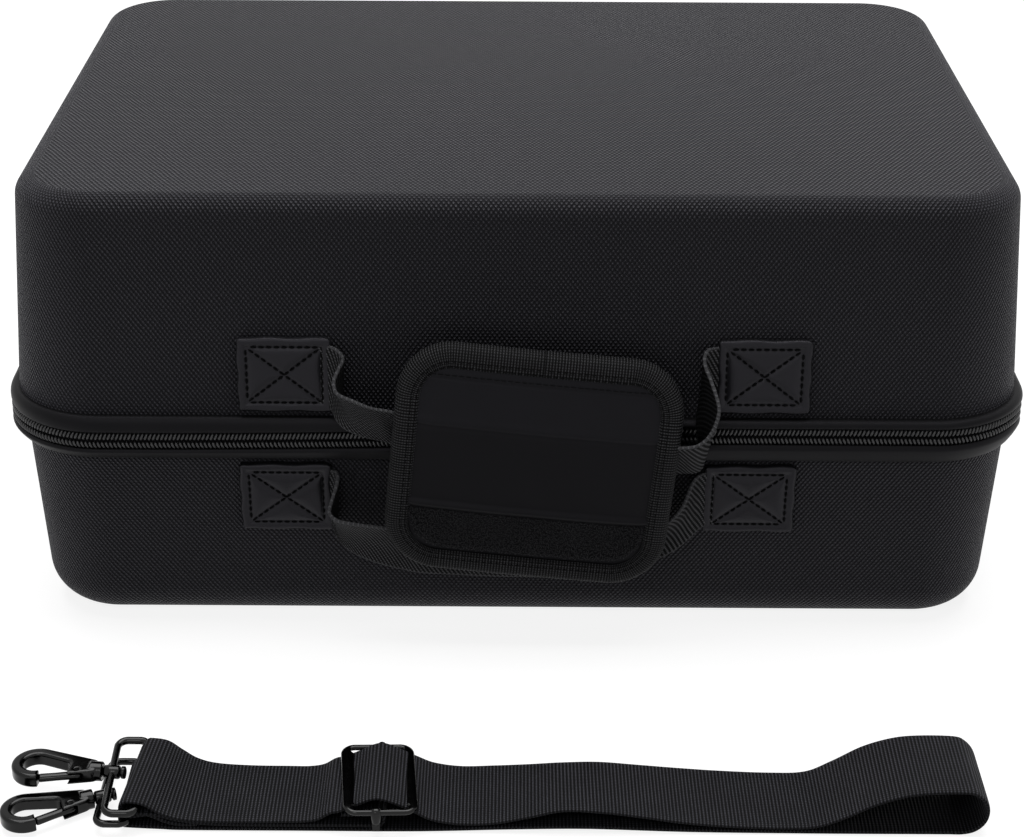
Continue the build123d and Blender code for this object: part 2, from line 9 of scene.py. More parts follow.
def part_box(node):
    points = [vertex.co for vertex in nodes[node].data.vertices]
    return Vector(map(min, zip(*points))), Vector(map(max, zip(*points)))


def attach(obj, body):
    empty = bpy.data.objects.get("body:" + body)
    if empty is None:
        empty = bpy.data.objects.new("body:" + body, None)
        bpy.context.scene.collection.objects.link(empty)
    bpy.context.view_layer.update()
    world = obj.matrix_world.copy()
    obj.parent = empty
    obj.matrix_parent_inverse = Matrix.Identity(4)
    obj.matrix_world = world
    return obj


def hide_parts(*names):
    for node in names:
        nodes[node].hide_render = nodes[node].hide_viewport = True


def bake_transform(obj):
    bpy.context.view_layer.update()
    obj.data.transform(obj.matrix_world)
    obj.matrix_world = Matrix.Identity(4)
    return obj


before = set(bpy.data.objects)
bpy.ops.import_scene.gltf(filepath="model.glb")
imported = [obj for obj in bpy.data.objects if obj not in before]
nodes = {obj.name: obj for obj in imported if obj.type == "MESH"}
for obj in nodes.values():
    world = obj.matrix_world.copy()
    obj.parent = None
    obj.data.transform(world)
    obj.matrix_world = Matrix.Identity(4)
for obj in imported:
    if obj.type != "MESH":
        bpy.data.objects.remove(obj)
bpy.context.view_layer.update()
draw = np.random.default_rng(7)

# Lengths are millimetres until a piece is made.
MM = 0.001


def node_box(node):
    low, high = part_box(node)
    return np.array(low) / MM, np.array(high) / MM


# The case: its box from the frame, its drafts and edges from the photograph
upper_low, upper_high = node_box("upper_shell")
lower_low, lower_high = node_box("lower_shell")
rim_up, case_top = upper_low[2], upper_high[2]
rim_down = lower_high[2]
upper_half, lower_half = upper_high[:2], lower_high[:2]
lower_step = upper_half[0] - lower_half[0]
upper_draft, lower_draft = radians(3.9), radians(3.5)
corner_radius = 42.0
top_edge_radius, bottom_edge_radius = 9.0, 20.0
wall = 5.0
top_crown, bottom_hollow = 1.4, -0.6
# Steps along a straight run and round a corner of the case
wall_step, corner_steps = 6, 22
# The cloth is stretched from front to back over the flat ends
cap_stretch = 0.8


# Meshes
def stand(name, data):
    """A new object in the scene."""
    thing = bpy.data.objects.new(name, data)
    bpy.context.scene.collection.objects.link(thing)
    return thing


class Skin:
    """Collects faces in millimetres, with weave coordinates, and makes one piece of them."""

    def __init__(self):
        self.points, self.corners, self.sizes, self.weave, self.slots = [], [], [], [], []
        self.count = 0

    def add_points(self, points):
        points = np.asarray(points, float).reshape(-1, 3)
        first = self.count
        self.points.append(points)
        self.count += len(points)
        return first

    def add_faces(self, faces, weave=None, slot=0):
        faces = np.asarray(faces)
        self.corners.append(faces.ravel())
        self.sizes.append(np.full(len(faces), faces.shape[1]))
        weave = np.zeros((faces.size, 2)) if weave is None else np.asarray(weave, float).reshape(-1, 2)
        self.weave.append(weave)
        self.slots.append(np.full(len(faces), slot))

    def grid(self, points, weave=None, around=False, flip=False, slot=0):
        """Quads through points[row][column]; around joins the last column to the first."""
        points = np.asarray(points, float)
        rows, columns = points.shape[:2]
        index = self.add_points(points) + np.arange(rows * columns).reshape(rows, columns)
        if around:
            index = np.hstack([index, index[:, :1]])
        pick = [(slice(None, -1), slice(None, -1)), (slice(None, -1), slice(1, None)),
                (slice(1, None), slice(1, None)), (slice(1, None), slice(None, -1))]
        if flip:
            pick.reverse()
        faces = np.stack([index[p] for p in pick], -1).reshape(-1, 4)
        if weave is not None:
            weave = np.stack([np.asarray(weave, float)[p] for p in pick], 2)
        self.add_faces(faces, weave, slot)

    def tubes(self, centres, radii, out, across=None, sides=6):
        """Closed round bars: centres[bar][station], radii[station], and two directions across them."""
        bars, stations = centres.shape[:2]
        if across is None:
            across = np.cross(unit(np.gradient(centres, axis=1)), out)
        angle = 2 * pi * np.arange(sides) / sides
        reach = np.asarray(radii, float)[..., None, None]
        out, across = (np.broadcast_to(side, centres.shape)[:, :, None] for side in (out, across))
        rings = (out * np.cos(angle)[:, None] + across * np.sin(angle)[:, None]) * reach
        first = self.add_points(rings + centres[:, :, None])
        index = first + np.arange(bars * stations * sides).reshape(bars, stations, sides)
        turn = np.roll(index, -1, axis=2)
        quads = np.stack([index[:, :-1], turn[:, :-1], turn[:, 1:], index[:, 1:]], -1).reshape(-1, 4)
        self.add_faces(quads)
        for end, order in ((0, 1), (-1, -1)):
            poles = self.add_points(centres[:, end]) + np.arange(bars)
            fan = [np.broadcast_to(poles[:, None], (bars, sides)), turn[:, end], index[:, end]]
            self.add_faces(np.stack(fan[::order], -1).reshape(-1, 3))

    def bar(self, start, along, run, radii, out, across, sides):
        """One straight bar with these radii at these distances along it."""
        centres = np.asarray(start) + np.asarray(run)[:, None] * along
        self.tubes(centres[None], radii, out, across, sides)

    def make(self, name, *materials, weld=0.0, outward=False, sharp=None):
        mesh = bpy.data.meshes.new(name)
        points = np.concatenate(self.points) * MM
        corners = np.concatenate(self.corners).astype(np.int32)
        sizes = np.concatenate(self.sizes)
        mesh.vertices.add(len(points))
        mesh.vertices.foreach_set("co", points.astype(np.float32).ravel())
        mesh.loops.add(len(corners))
        mesh.loops.foreach_set("vertex_index", corners)
        mesh.polygons.add(len(sizes))
        mesh.polygons.foreach_set("loop_start", (np.cumsum(sizes) - sizes).astype(np.int32))
        mesh.polygons.foreach_set("material_index", np.concatenate(self.slots).astype(np.int32))
        weave = mesh.attributes.new("weave", "FLOAT_VECTOR", "CORNER")
        flat = np.pad(np.concatenate(self.weave), ((0, 0), (0, 1)))
        weave.data.foreach_set("vector", flat.astype(np.float32).ravel())
        mesh.update(calc_edges=True)
        if weld or outward:
            shape = bmesh.new()
            shape.from_mesh(mesh)
            if weld:
                bmesh.ops.remove_doubles(shape, verts=shape.verts, dist=weld * MM)
            if outward:
                bmesh.ops.recalc_face_normals(shape, faces=shape.faces)
            shape.to_mesh(mesh)
            shape.free()
        mesh.shade_smooth()
        if sharp:
            mesh.set_sharp_from_angle(angle=radians(sharp))
        for material in materials:
            mesh.materials.append(material)
        return stand(name, mesh)


def settle(piece, body, slot, *stands_for):
    """The piece rides on a body and stands for CAD nodes; the slot is not used."""
    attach(piece, body)
    if stands_for:
        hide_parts(*stands_for)
    return piece


def unit(vectors):
    return vectors / np.linalg.norm(vectors, axis=-1, keepdims=True)


def ease(t):
    t = np.clip(t, 0, 1)
    return t * t * (3 - 2 * t)


def bell(t):
    return np.exp(-np.square(t))


def smooth_line(points, per_span):
    """A smooth curve through the points, with per_span steps between neighbours."""
    p = np.asarray(points, float)
    p = np.vstack([2 * p[0] - p[1], p, 2 * p[-1] - p[-2]])
    t = (np.arange(per_span) / per_span)[:, None]
    spans = []
    for a, b, c, d in zip(p[:-3], p[1:-2], p[2:-1], p[3:]):
        spans.append(0.5 * (2 * b + (c - a) * t + (2 * a - 5 * b + 4 * c - d) * t**2
                            + (3 * b - a - 3 * c + d) * t**3))
    return np.vstack([*spans, p[-2:-1]])


def travelled(points):
    """Distance along a line at each of its points."""
    return np.concatenate([[0], np.cumsum(np.linalg.norm(np.diff(points, axis=0), axis=1))])


def carried(distances, run, line):
    """A line's columns at given distances, where run is the distance at each of its points."""
    return np.stack([np.interp(distances, run, column) for column in line.T], 1)


# Materials
class Finish:
    """A Principled material that is built up node by node."""

    def __init__(self, name, roughness, **inputs):
        self.material = bpy.data.materials.new(name)
        self.material.use_nodes = True
        self.tree = self.material.node_tree
        self.shader = self.tree.nodes["Principled BSDF"]
        self.put("Roughness", roughness)
        for socket, value in inputs.items():
            self.put(socket.replace("_", " "), value)

    def put(self, socket, value):
        self.plug(self.shader.inputs[socket], value)

    def plug(self, socket, value):
        if isinstance(value, bpy.types.NodeSocket):
            self.tree.links.new(value, socket)
        else:
            socket.default_value = value

    def add(self, kind, *values, **named):
        """A node with values on its first sockets; a capital marks a socket's name, others are settings."""
        node = self.tree.nodes.new("ShaderNode" + kind)
        for socket, value in zip(node.inputs, values):
            self.plug(socket, value)
        for name, value in named.items():
            if name[0].isupper():
                self.plug(node.inputs[name], value)
            else:
                setattr(node, name, value)
        return node

    def math(self, operation, *values):
        return self.add("Math", *values, operation=operation).outputs[0]

    def scaled(self, value, gain, base):
        """value * gain + base"""
        return self.math("MULTIPLY_ADD", value, gain, base)

    def weave(self):
        """Coordinates along and across the cloth, in millimetres."""
        split = self.add("SeparateXYZ", self.add("Attribute", attribute_name="weave").outputs["Vector"])
        return split.outputs[0], split.outputs[1]

    def upright(self):
        """Height and depth in the case, in millimetres."""
        split = self.add("SeparateXYZ", self.place())
        return self.math("DIVIDE", split.outputs[2], MM), self.math("DIVIDE", split.outputs[1], MM)

    def place(self):
        return self.add("TexCoord").outputs["Object"]

    def noise(self, scale, detail=3.0, roughness=0.5):
        """Soft noise; scale counts waves in a metre."""
        node = self.add("TexNoise", self.place(), Scale=scale, Detail=detail, Roughness=roughness)
        return node.outputs["Fac"]

    def cells(self, scale):
        """Distance from scattered spots; scale counts spots in a metre."""
        return self.add("TexVoronoi", self.place(), Scale=scale).outputs["Distance"]

    def wave(self, value, pitch):
        """A wave from 0 to 1 along the cloth, one turn each pitch."""
        turn = self.math("COSINE", self.math("MULTIPLY", value, 2 * pi / pitch))
        return self.scaled(turn, 0.5, 0.5)

    def tint(self, factor, dark, light):
        """Base colour between two colours."""
        node = self.add("Mix", factor, data_type="RGBA")
        first, second, mixed = 6, 7, 2
        self.plug(node.inputs[first], (*dark, 1))
        self.plug(node.inputs[second], (*light, 1))
        self.put("Base Color", node.outputs[mixed])

    def bump(self, height, distance):
        """Relief of a distance in millimetres."""
        node = self.add("Bump", Strength=1.0, Distance=distance * MM, Height=height)
        self.put("Normal", node.outputs["Normal"])

    def rough(self, factor, low, high):
        self.put("Roughness", self.scaled(factor, high - low, low))


def grey(level, blue=1.06):
    return level, level, level * blue


# The black dye leans a little to violet
violet_cast = (0.92, 0.89, 1.0, 1.0)


def ballistic_cloth():
    """Coarse diagonal basket weave: staggered dimples between slanted yarns."""
    finish = Finish("ballistic_cloth", 0.6, Specular_IOR_Level=0.13, Specular_Tint=violet_cast,
                    Sheen_Weight=0.035, Sheen_Roughness=0.4, Sheen_Tint=(0.84, 0.82, 1.0, 1.0))
    u, v = finish.weave()
    across, along, wander = 2.07, 2.75, 0.6
    u = finish.math("ADD", u, finish.scaled(finish.noise(60.0, 1.0), 2 * wander, -wander))
    row = finish.math("MULTIPLY", v, 2 * pi / along)
    rising = finish.math("COSINE", finish.scaled(u, 2 * pi / across, row))
    falling = finish.math("COSINE", finish.scaled(u, -2 * pi / across, row))
    rows = finish.scaled(finish.math("COSINE", finish.math("MULTIPLY", row, 2)), 0.1, 0.5)
    # The weave is pulled a little askew towards the ends of a wall
    skew_rate, most_skew = 0.0006, 0.1
    skew = finish.add("Clamp", finish.math("MULTIPLY", u, skew_rate), -most_skew, most_skew).outputs[0]
    slanted = finish.math("MULTIPLY", finish.math("SUBTRACT", falling, rising), skew)
    even = finish.scaled(finish.math("ADD", rising, falling), 0.2, rows)
    height = finish.math("ADD", even, slanted)
    # Painted shade and highlight: the colour darkens in the dimples and lightens on the yarn crests.
    finish.tint(finish.math("POWER", height, 2.4), grey(0.0003), grey(0.05, 1.14))
    finish.rough(height, 0.8, 0.34)
    finish.bump(height, 1.1)
    return finish.material


def smooth_cloth(name, dark, light, roughness=0.62, fineness=1.1, relief=0.05):
    """Close plain cloth with a fine thread and faint mottling, for any piece."""
    finish = Finish(name, roughness, Specular_IOR_Level=0.1, Specular_Tint=violet_cast)
    fibre = finish.noise(1 / (fineness * MM), 2.0, 0.6)
    mottling = finish.scaled(finish.noise(60.0), 0.6, finish.math("MULTIPLY", fibre, 0.4))
    finish.tint(mottling, dark, light)
    finish.bump(fibre, relief)
    return finish.material


def webbing(name, dark, light, pitch, slant=0.0, width=None, upright=False):
    """Webbing with square or slanted ribs, and a painted highlight along the selvages where a width is
    given.

    Upright webbing runs up and down the case's side.
    """
    finish = Finish(name, 0.6, Specular_IOR_Level=0.06)
    along, across = finish.upright() if upright else finish.weave()
    yarn_pitch, selvage_width, selvage_highlight_level = 1.15, 0.8, 0.66
    rib = finish.wave(finish.scaled(across, slant, along), pitch)
    yarn = finish.wave(across, yarn_pitch)
    worn = finish.scaled(finish.noise(90.0), 0.5, 0.6)
    crest = finish.math("MULTIPLY", rib, finish.scaled(yarn, 0.5, 0.5))
    if width:
        # Painted highlight: a lighter band along each selvage, where the edge would catch the light.
        selvage = finish.math("GREATER_THAN", finish.math("ABSOLUTE", across), width / 2 - selvage_width)
        crest = finish.math("MAXIMUM", crest, finish.math("MULTIPLY", selvage, selvage_highlight_level))
    # Painted shade between the ribs and painted highlight on their crests.
    finish.tint(finish.math("MULTIPLY", finish.math("POWER", crest, 1.9), worn), dark, light)
    finish.bump(finish.scaled(yarn, 0.3, rib), 0.25)
    return finish.material


def leather():
    """Smooth leatherette with a fine pebble and soft wear."""
    finish = Finish("leather", 0.5, Specular_IOR_Level=0.2, Specular_Tint=violet_cast)
    pebble = finish.cells(900.0)
    wear = finish.noise(45.0, 4.0)
    finish.tint(wear, grey(0.003), grey(0.009, 1.2))
    finish.rough(wear, 0.32, 0.5)
    finish.bump(finish.scaled(pebble, 0.5, finish.noise(1500.0, 1.0)), 0.06)
    return finish.material


def dark_metal():
    """Black nickel plate with faint polishing marks."""
    finish = Finish("dark_metal", 0.24, Base_Color=(0.022, 0.022, 0.022, 1), Metallic=1.0)
    finish.rough(finish.noise(260.0, 4.0), 0.1, 0.22)
    finish.bump(finish.noise(1800.0, 2.0), 0.012)
    return finish.material


def plain(name, level, roughness, specular=0.12, mottled=80.0, relief=0.03):
    """One dull colour with slight mottling, for thread, coil, foam and plastic."""
    finish = Finish(name, roughness, Specular_IOR_Level=specular)
    finish.tint(finish.noise(mottled, 4.0), grey(level * 0.75), grey(level * 1.25))
    finish.bump(finish.noise(mottled * 12, 2.0), relief)
    return finish.material


shell_cloth = ballistic_cloth()
lining_cloth = smooth_cloth("lining_cloth", grey(0.020), grey(0.034), 0.7)
band_cloth = smooth_cloth("band_cloth", grey(0.0015), grey(0.005), 0.5, 0.8, 0.03)
tape_cloth = smooth_cloth("tape_cloth", grey(0.001), grey(0.003), 0.7)
pad_cloth = smooth_cloth("pad_cloth", grey(0.002), grey(0.004, 1.1), 0.52, 0.5, 0.02)
# A lighter copy of the pad cloth: painted light on the panel above the crease.
pad_flap_painted_light = smooth_cloth("pad_flap_painted_light", grey(0.004), grey(0.007, 1.2), 0.46, 0.5, 0.02)
# Pitches of the ribs, in millimetres
binding_rib, handle_rib, strap_rib = 1.3, 2.0, 1.45
handle_width, handle_thickness, handle_slant = 28.0, 1.8, 0.55
rib_height = 0.2
binding_tape = webbing("binding_tape", grey(0.0015), grey(0.074), binding_rib)
handle_tape = webbing("handle_tape", grey(0.0006), grey(0.13), handle_rib, handle_slant, handle_width)
# A darker copy of the handle webbing: painted shade on the handles' inner faces.
handle_inside_painted_shade = webbing("handle_inside_painted_shade", grey(0.0004), grey(0.016), handle_rib, handle_slant)
strap_tape = webbing("strap_tape", grey(0.0025), grey(0.067, 1.16), strap_rib)
patch_leather = leather()
metal = dark_metal()
coil_plastic = plain("coil_plastic", 0.022, 0.3, 0.4)
thread = plain("thread", 0.0015, 0.7, 0.05)
loop_pile = plain("loop_pile", 0.034, 0.8, 0.08)
hook_tape = plain("hook_tape", 0.008, 0.6)
foam = plain("foam", 0.03, 0.85, 0.08, 400.0, 0.12)
net_thread = plain("net_thread", 0.008, 0.6)
tab_tape = webbing("tab_tape", grey(0.0008), grey(0.1), strap_rib, upright=True)


# Case halves
def perimeter(half, radius, step, turn_steps):
    """Centres, outward normals and arc lengths round a rounded rectangle, from the middle of its back.

    Each point of the outline lies a radius from its centre along its normal.
    """
    cx, cy = half[0] - radius, half[1] - radius
    half_run, side_run = round(cx / step), round(2 * cy / step)
    counts = [half_run, side_run, 2 * half_run, side_run, half_run]
    stops = np.array([(0, cy), (-cx, cy), (-cx, -cy), (cx, -cy), (cx, cy), (0, cy)])
    centres, angles = [], []
    for start, end, angle, count in zip(stops, stops[1:], (90, 180, 270, 360, 450), counts):
        centres += [start + (end - start) * i / count for i in range(count)]
        angles += [angle] * count
        if angle < 450:
            centres += [end] * turn_steps
            angles += [angle + 90 * i / turn_steps for i in range(turn_steps)]
    centres = np.array(centres)
    angles = np.radians(angles)
    normals = np.stack([np.cos(angles), np.sin(angles)], 1)
    outline = centres + normals * radius
    run = travelled(np.vstack([outline, outline[:1]]))
    return centres, normals, run - run[-1] / 2


def drawn_in(path, radius, inset):
    """The loop drawn in by inset; past its corner radius the straight runs close up as well."""
    centres, normals, _ = path
    if inset <= radius:
        return centres + normals * (radius - inset)
    return centres * (1 - (inset - radius) / np.abs(centres).max(0))


def level(outline, z):
    return np.hstack([outline, np.broadcast_to(z, (len(outline),))[:, None]])


def half_profile(height, draft, edge_radius):
    """Insets and heights up a drafted wall and round the edge at its end."""
    foot = height - edge_radius * (1 - sin(draft))
    turn_in = foot * tan(draft) + edge_radius * cos(draft)
    rise = np.linspace(0, foot, 20)
    turn = np.linspace(draft, pi / 2, 15)[1:]
    insets = np.concatenate([rise * tan(draft), turn_in - edge_radius * np.cos(turn)])
    heights = np.concatenate([rise, height - edge_radius + edge_radius * np.sin(turn)])
    return insets, heights


def case_half(name, half, z_rim, z_end, radius, draft, edge_radius, crown):
    """One moulded half: cloth outside, lining inside, closed at the rim."""
    skin = Skin()
    sign = 1 if z_end > z_rim else -1
    rims = []
    for inward, slot in ((0, 0), (wall, 1)):
        reach, corner, flip = half - inward, radius - inward, (sign < 0) != (inward > 0)
        path = perimeter(reach, corner, wall_step, corner_steps)
        insets, heights = half_profile(abs(z_end - z_rim) - inward, draft, edge_radius - inward)
        rings = []
        for inset, height in zip(insets, heights):
            rings.append(level(drawn_in(path, corner, inset), z_rim + sign * height))
        run = travelled(np.stack([insets, heights, 0 * insets], 1))
        wrap = np.stack(np.meshgrid(path[2], sign * run), -1)
        skin.grid(rings, wrap, around=True, flip=flip, slot=slot)
        rims.append(rings[0])
        edge = insets[-1]
        last = corner + np.abs(path[0][:, 1]).max()
        cap = []
        for inset in np.linspace(edge, last, 26):
            outline = drawn_in(path, corner, inset)
            share = np.clip(1 - np.square(outline / (reach - edge)), 0, 1).prod(1)
            cap.append(level(outline, z_rim + sign * heights[-1] + sign * crown * share))
        cap = np.array(cap)
        lay = np.concatenate([cap, cap[:, :1]], 1)[..., :2] + [0, reach[1] - edge]
        lay = lay * [1, sign * cap_stretch] + [0, sign * run[-1]]
        skin.grid(cap, lay, around=True, flip=flip, slot=slot)
    skin.grid(rims[::-1], around=True, flip=sign < 0, slot=1)
    return skin.make(name, shell_cloth, lining_cloth, weld=0.05, sharp=50)


upper_shape = upper_half, rim_up, case_top, corner_radius, upper_draft, top_edge_radius, top_crown
settle(case_half("upper_case_half", *upper_shape), "lid", "shell_fabric", "upper_shell")
lower_shape = (lower_half, rim_down, lower_low[2], corner_radius - lower_step, lower_draft,
               bottom_edge_radius, bottom_hollow)
settle(case_half("lower_case_half", *lower_shape), "base", "shell_fabric", "lower_shell")


# Flange bands and zip
coil_up = node_box("upper_zip_coil")[1][2]
coil_down = node_box("lower_zip_coil")[0][2]
band_top = node_box("upper_flange_binding")[1][2]
band_foot = node_box("lower_flange_binding")[0][2]
flange_out = node_box("upper_flange_binding")[1][0] - upper_half[0]
hinge_half = node_box("hinge_strip")[1][0]
zip_path = perimeter(upper_half, corner_radius, wall_step, corner_steps)


def zip_lift(outline):
    """The zip lies askew on the front: it climbs from the left corner to the right one."""
    climb, dip = 3.8, 0.4
    climb_start, climb_run = -170, 270
    front_start, front_fade = 118, 30
    x, y = outline.T
    on_front = ease((-y - front_start) / front_fade)
    return on_front * (climb * ease((x - climb_start) / climb_run) - dip)


def flange_band(name, section, edge_z, lip_z):
    """A soft band round the rim through (outset, height) points, whose lip follows the zip."""
    skin = Skin()
    rings = []
    for out, z in smooth_line(section, 4):
        outline = zip_path[0] + zip_path[1] * (corner_radius + out)
        share = np.clip((z - edge_z) / (lip_z - edge_z), 0, 1)
        rings.append(level(outline, z + zip_lift(outline) * share))
    skin.grid(rings, around=True)
    return skin.make(name, band_cloth)


lip_gap = 0.7
lip_up, lip_down = coil_up + lip_gap, coil_down - lip_gap
upper_section = [
    (0.6, lip_up), (2.3, lip_up), (flange_out - 0.3, lip_up + 0.8), (flange_out, lip_up + 2.4),
    (flange_out - 0.2, lip_up + 4.4), (flange_out - 1.1, band_top - 1.2), (0.9, band_top - 0.1),
    (-1.0, band_top - 0.1)]
lower_section = [
    (-lower_step - 1.6, band_foot - 0.4), (-0.6, band_foot), (1.5, band_foot + 1.8),
    (flange_out - 0.5, band_foot + 3.8), (flange_out, lip_down - 1.3), (2.9, lip_down - 0.2),
    (1.9, lip_down), (0.6, lip_down)]
for which, body, section, edge_z, lip_z in (("upper", "lid", upper_section, band_top, lip_up),
                                            ("lower", "base", lower_section, band_foot, lip_down)):
    band = flange_band(f"{which}_band", section, edge_z, lip_z)
    settle(band, body, "band_fabric", f"{which}_flange_binding")


def zip_coil(name, z_band, z_centre, phase):
    """A row of slanted coil teeth from a band to the middle of the zip."""
    pitch, tooth_radius, slant = 1.8, 0.64, 0.55
    outset, sunk, belly, hinge_gap = 2.2, 0.9, 1.5, 5
    fine = perimeter(upper_half, corner_radius, 1, 60)
    outline = fine[0] + fine[1] * (corner_radius + outset)
    run = travelled(outline)
    spots = np.arange(phase * pitch, run[-1], pitch)
    spot, normal = carried(spots, run, outline), unit(carried(spots, run, fine[1]))
    keep = (np.abs(spot[:, 0]) > hinge_half + hinge_gap) | (spot[:, 1] < 0)
    spot, normal = spot[keep], normal[keep]
    tangent = np.stack([-normal[:, 1], normal[:, 0]], 1)
    t = np.linspace(0, 1, 6)
    sideways = slant * np.cos(pi * t)
    outward = -sunk + belly * np.sin(pi * (0.12 + 0.66 * t))
    flat = spot[:, None] + tangent[:, None] * sideways[:, None] + normal[:, None] * outward[:, None]
    height = z_band + (z_centre - z_band) * t + zip_lift(spot)[:, None]
    centres = np.concatenate([flat, height[..., None]], -1)
    out = np.pad(normal, ((0, 0), (0, 1)))[:, None]
    skin = Skin()
    skin.tubes(centres, tooth_radius * np.array([0.7, 0.95, 1, 1, 1.08, 0.75]), out)
    return skin.make(name, coil_plastic)


seam_z = (coil_up + coil_down) / 2
row_gap = 0.45
settle(zip_coil("upper_coil", lip_up, seam_z + row_gap, 0.0), "lid", "zip_coil", "upper_zip_coil")
settle(zip_coil("lower_coil", lip_down, seam_z - row_gap, 0.5), "base", "zip_coil", "lower_zip_coil")


def cloth_hinge():
    """The strip that joins the halves along the back."""
    low, high = node_box("hinge_strip")
    skin = Skin()
    x = np.linspace(low[0], high[0], 61)
    z = np.linspace(low[2], high[2], 31)
    swell = 0.25 * np.sin(pi * (z - low[2]) / (high[2] - low[2]))
    for y, flip in ((high[1] + swell, True), (np.full(len(z), low[1]), False)):
        sheet = np.stack(np.broadcast_arrays(x[None], y[:, None], z[:, None]), -1)
        skin.grid(sheet, np.stack(np.meshgrid(x, z), -1), flip=flip)
    return skin.make("cloth_hinge", smooth_cloth("hinge_cloth", grey(0.008), grey(0.016)))


hinge = cloth_hinge()
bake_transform(hinge)
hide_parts("hinge_strip")


# Sewing
def stitches(skin, line, normal, pitch, dash, radius):
    """Thread dashes along a line of points, lying on a surface with these normals."""
    both = np.hstack([line, np.broadcast_to(normal, line.shape)])
    run = travelled(line)
    starts = np.arange((run[-1] % pitch) / 2, run[-1] - dash, pitch)
    t = np.linspace(0, 1, 5)
    laid = carried((starts[:, None] + dash * t).ravel(), run, both).reshape(len(starts), len(t), 6)
    out = unit(laid[..., 3:])
    centres = laid[..., :3] + out * (radius * (0.9 * np.sin(pi * t) - 0.3))[:, None]
    across = np.cross(unit(np.gradient(centres, axis=1)), out)
    skin.tubes(centres, radius * np.array([0.6, 0.95, 1, 0.95, 0.6]), out, unit(across), 5)


def clipped(a, b, half_a, half_b, corner):
    """Grid points pulled in to a rectangle with rounded corners."""
    over = np.stack([np.abs(a) - (half_a - corner), np.abs(b) - (half_b - corner)], -1)
    reach = np.linalg.norm(np.maximum(over, 1e-9), axis=-1)
    pull = np.where((over > 0).all(-1) & (reach > corner), corner / reach, 1)[..., None]
    inner = np.where((over > 0).all(-1)[..., None], over * pull, over)
    return np.sign(a) * (inner[..., 0] + half_a - corner), np.sign(b) * (inner[..., 1] + half_b - corner)


# Leather patches
class Face:
    """A flat place on the case: right, up and out directions from an origin."""

    def __init__(self, origin, right, up):
        self.origin, self.right, self.up = (np.asarray(v, float) for v in (origin, right, up))
        self.out = np.cross(self.right, self.up)

    def at(self, a, b, h):
        a, b, h = (np.asarray(v, float)[..., None] for v in np.broadcast_arrays(a, b, h))
        return self.origin + a * self.right + b * self.up + h * self.out


def front_face(x, z):
    """Place on the front wall of the half that holds this height."""
    half, rim, draft = upper_half, rim_up, upper_draft
    if z <= seam_z:
        half, rim, draft = lower_half, rim_down, -lower_draft
    y = (z - rim) * tan(draft) - half[1]
    return Face((x, y, z), (1, 0, 0), (0, sin(draft), cos(draft)))


def sewn_patch(name, face, half_a, half_b, lift, inset, body, node):
    """A puffed patch with a box-and-cross seam sunk into it, and the seam's thread."""
    slope = (half_b - inset) / (half_a - inset)
    # How high and how wide the edge is rounded, the hem raised, the middle puffed and the seam sunk
    round_high, round_wide = 1.1, 1.2
    hem_high, hem_wide, hem_place = 0.25, 1.3, 2.0
    puff_high, puff_wide = 0.8, 2.4
    seam_deep, seam_wide = 0.55, 0.8

    def height(a, b):
        edge = np.minimum(half_a - np.abs(a), half_b - np.abs(b))
        cross = np.minimum(np.abs(b - slope * a), np.abs(b + slope * a)) / hypot(1, slope)
        inside = edge > inset
        seam = np.where(inside, np.minimum(cross, edge - inset), inset - edge)
        round_off = round_high * np.square(np.clip(1 - edge / round_wide, 0, 1))
        hem = hem_high * bell((edge - hem_place) / hem_wide)
        puff = np.where(inside, puff_high * (1 - bell(seam / puff_wide)), 0)
        return lift - round_off + hem + puff - seam_deep * bell(seam / seam_wide)

    def spaced(half):
        inner = np.linspace(-half, half, int(half * 2 / 0.5))
        return np.concatenate([[-half, -half], inner[1:-1], [half, half]])

    a, b = np.meshgrid(spaced(half_a), spaced(half_b))
    h = height(a, b)
    h[[0, -1]] = h[:, [0, -1]] = 0
    # The cut edge wanders a little
    wobble, margin, corner = 0.25 * np.sin(a * 0.31 + b * 0.47 + half_a), 3, 2.5
    a, b = clipped(a, b, half_a, half_b, corner)
    cut_a, cut_b = wobble * (np.abs(a) > half_a - margin), wobble * (np.abs(b) > half_b - margin)
    skin = Skin()
    skin.grid(face.at(a + cut_a, b + cut_b, h), np.stack([a, b], -1))
    settle(skin.make(name, patch_leather), body, "patch_leather", node)

    ca, cb = half_a - inset, half_b - inset
    corners = np.array([(-ca, -cb), (ca, -cb), (ca, cb), (-ca, cb)])
    sewing = Skin()
    thread_lift, stitch_pitch, stitch_length, thread_radius = 0.3, 3.3, 2.5, 0.34
    for first, last in ((0, 1), (1, 2), (2, 3), (3, 0), (0, 2), (1, 3)):
        t = np.linspace(0, 1, 60)[:, None]
        a, b = (corners[first] + (corners[last] - corners[first]) * t).T
        line = face.at(a, b, height(a, b) + thread_lift)
        stitches(sewing, line, face.out, stitch_pitch, stitch_length, thread_radius)
    settle(sewing.make(name + "_thread", thread), body, "patch_leather")


patch_half_a, patch_half_b = 20.5, 17.0
patch_lift, seam_inset = 2.7, 4.2
side_patch_lift, side_seam_inset = 3.1, 3.2
for which, body, side, x in (("upper", "lid", "left", -100.5), ("upper", "lid", "right", 107.0),
                             ("lower", "base", "left", -102.0), ("lower", "base", "right", 103.5)):
    middle_z = np.mean(node_box(f"{which}_{side}_patch"), 0)[2]
    sewn_patch(f"{which}_{side}_leather", front_face(x, middle_z), patch_half_a, patch_half_b,
               patch_lift, seam_inset, body, f"{which}_{side}_patch")


def side_face(sign, y, z):
    """Place on the lower half's side wall, seen from outside."""
    x = lower_half[0] - (rim_down - z) * tan(lower_draft)
    return Face((sign * x, y, z), (0, sign, 0), (sign * sin(lower_draft), 0, cos(lower_draft)))


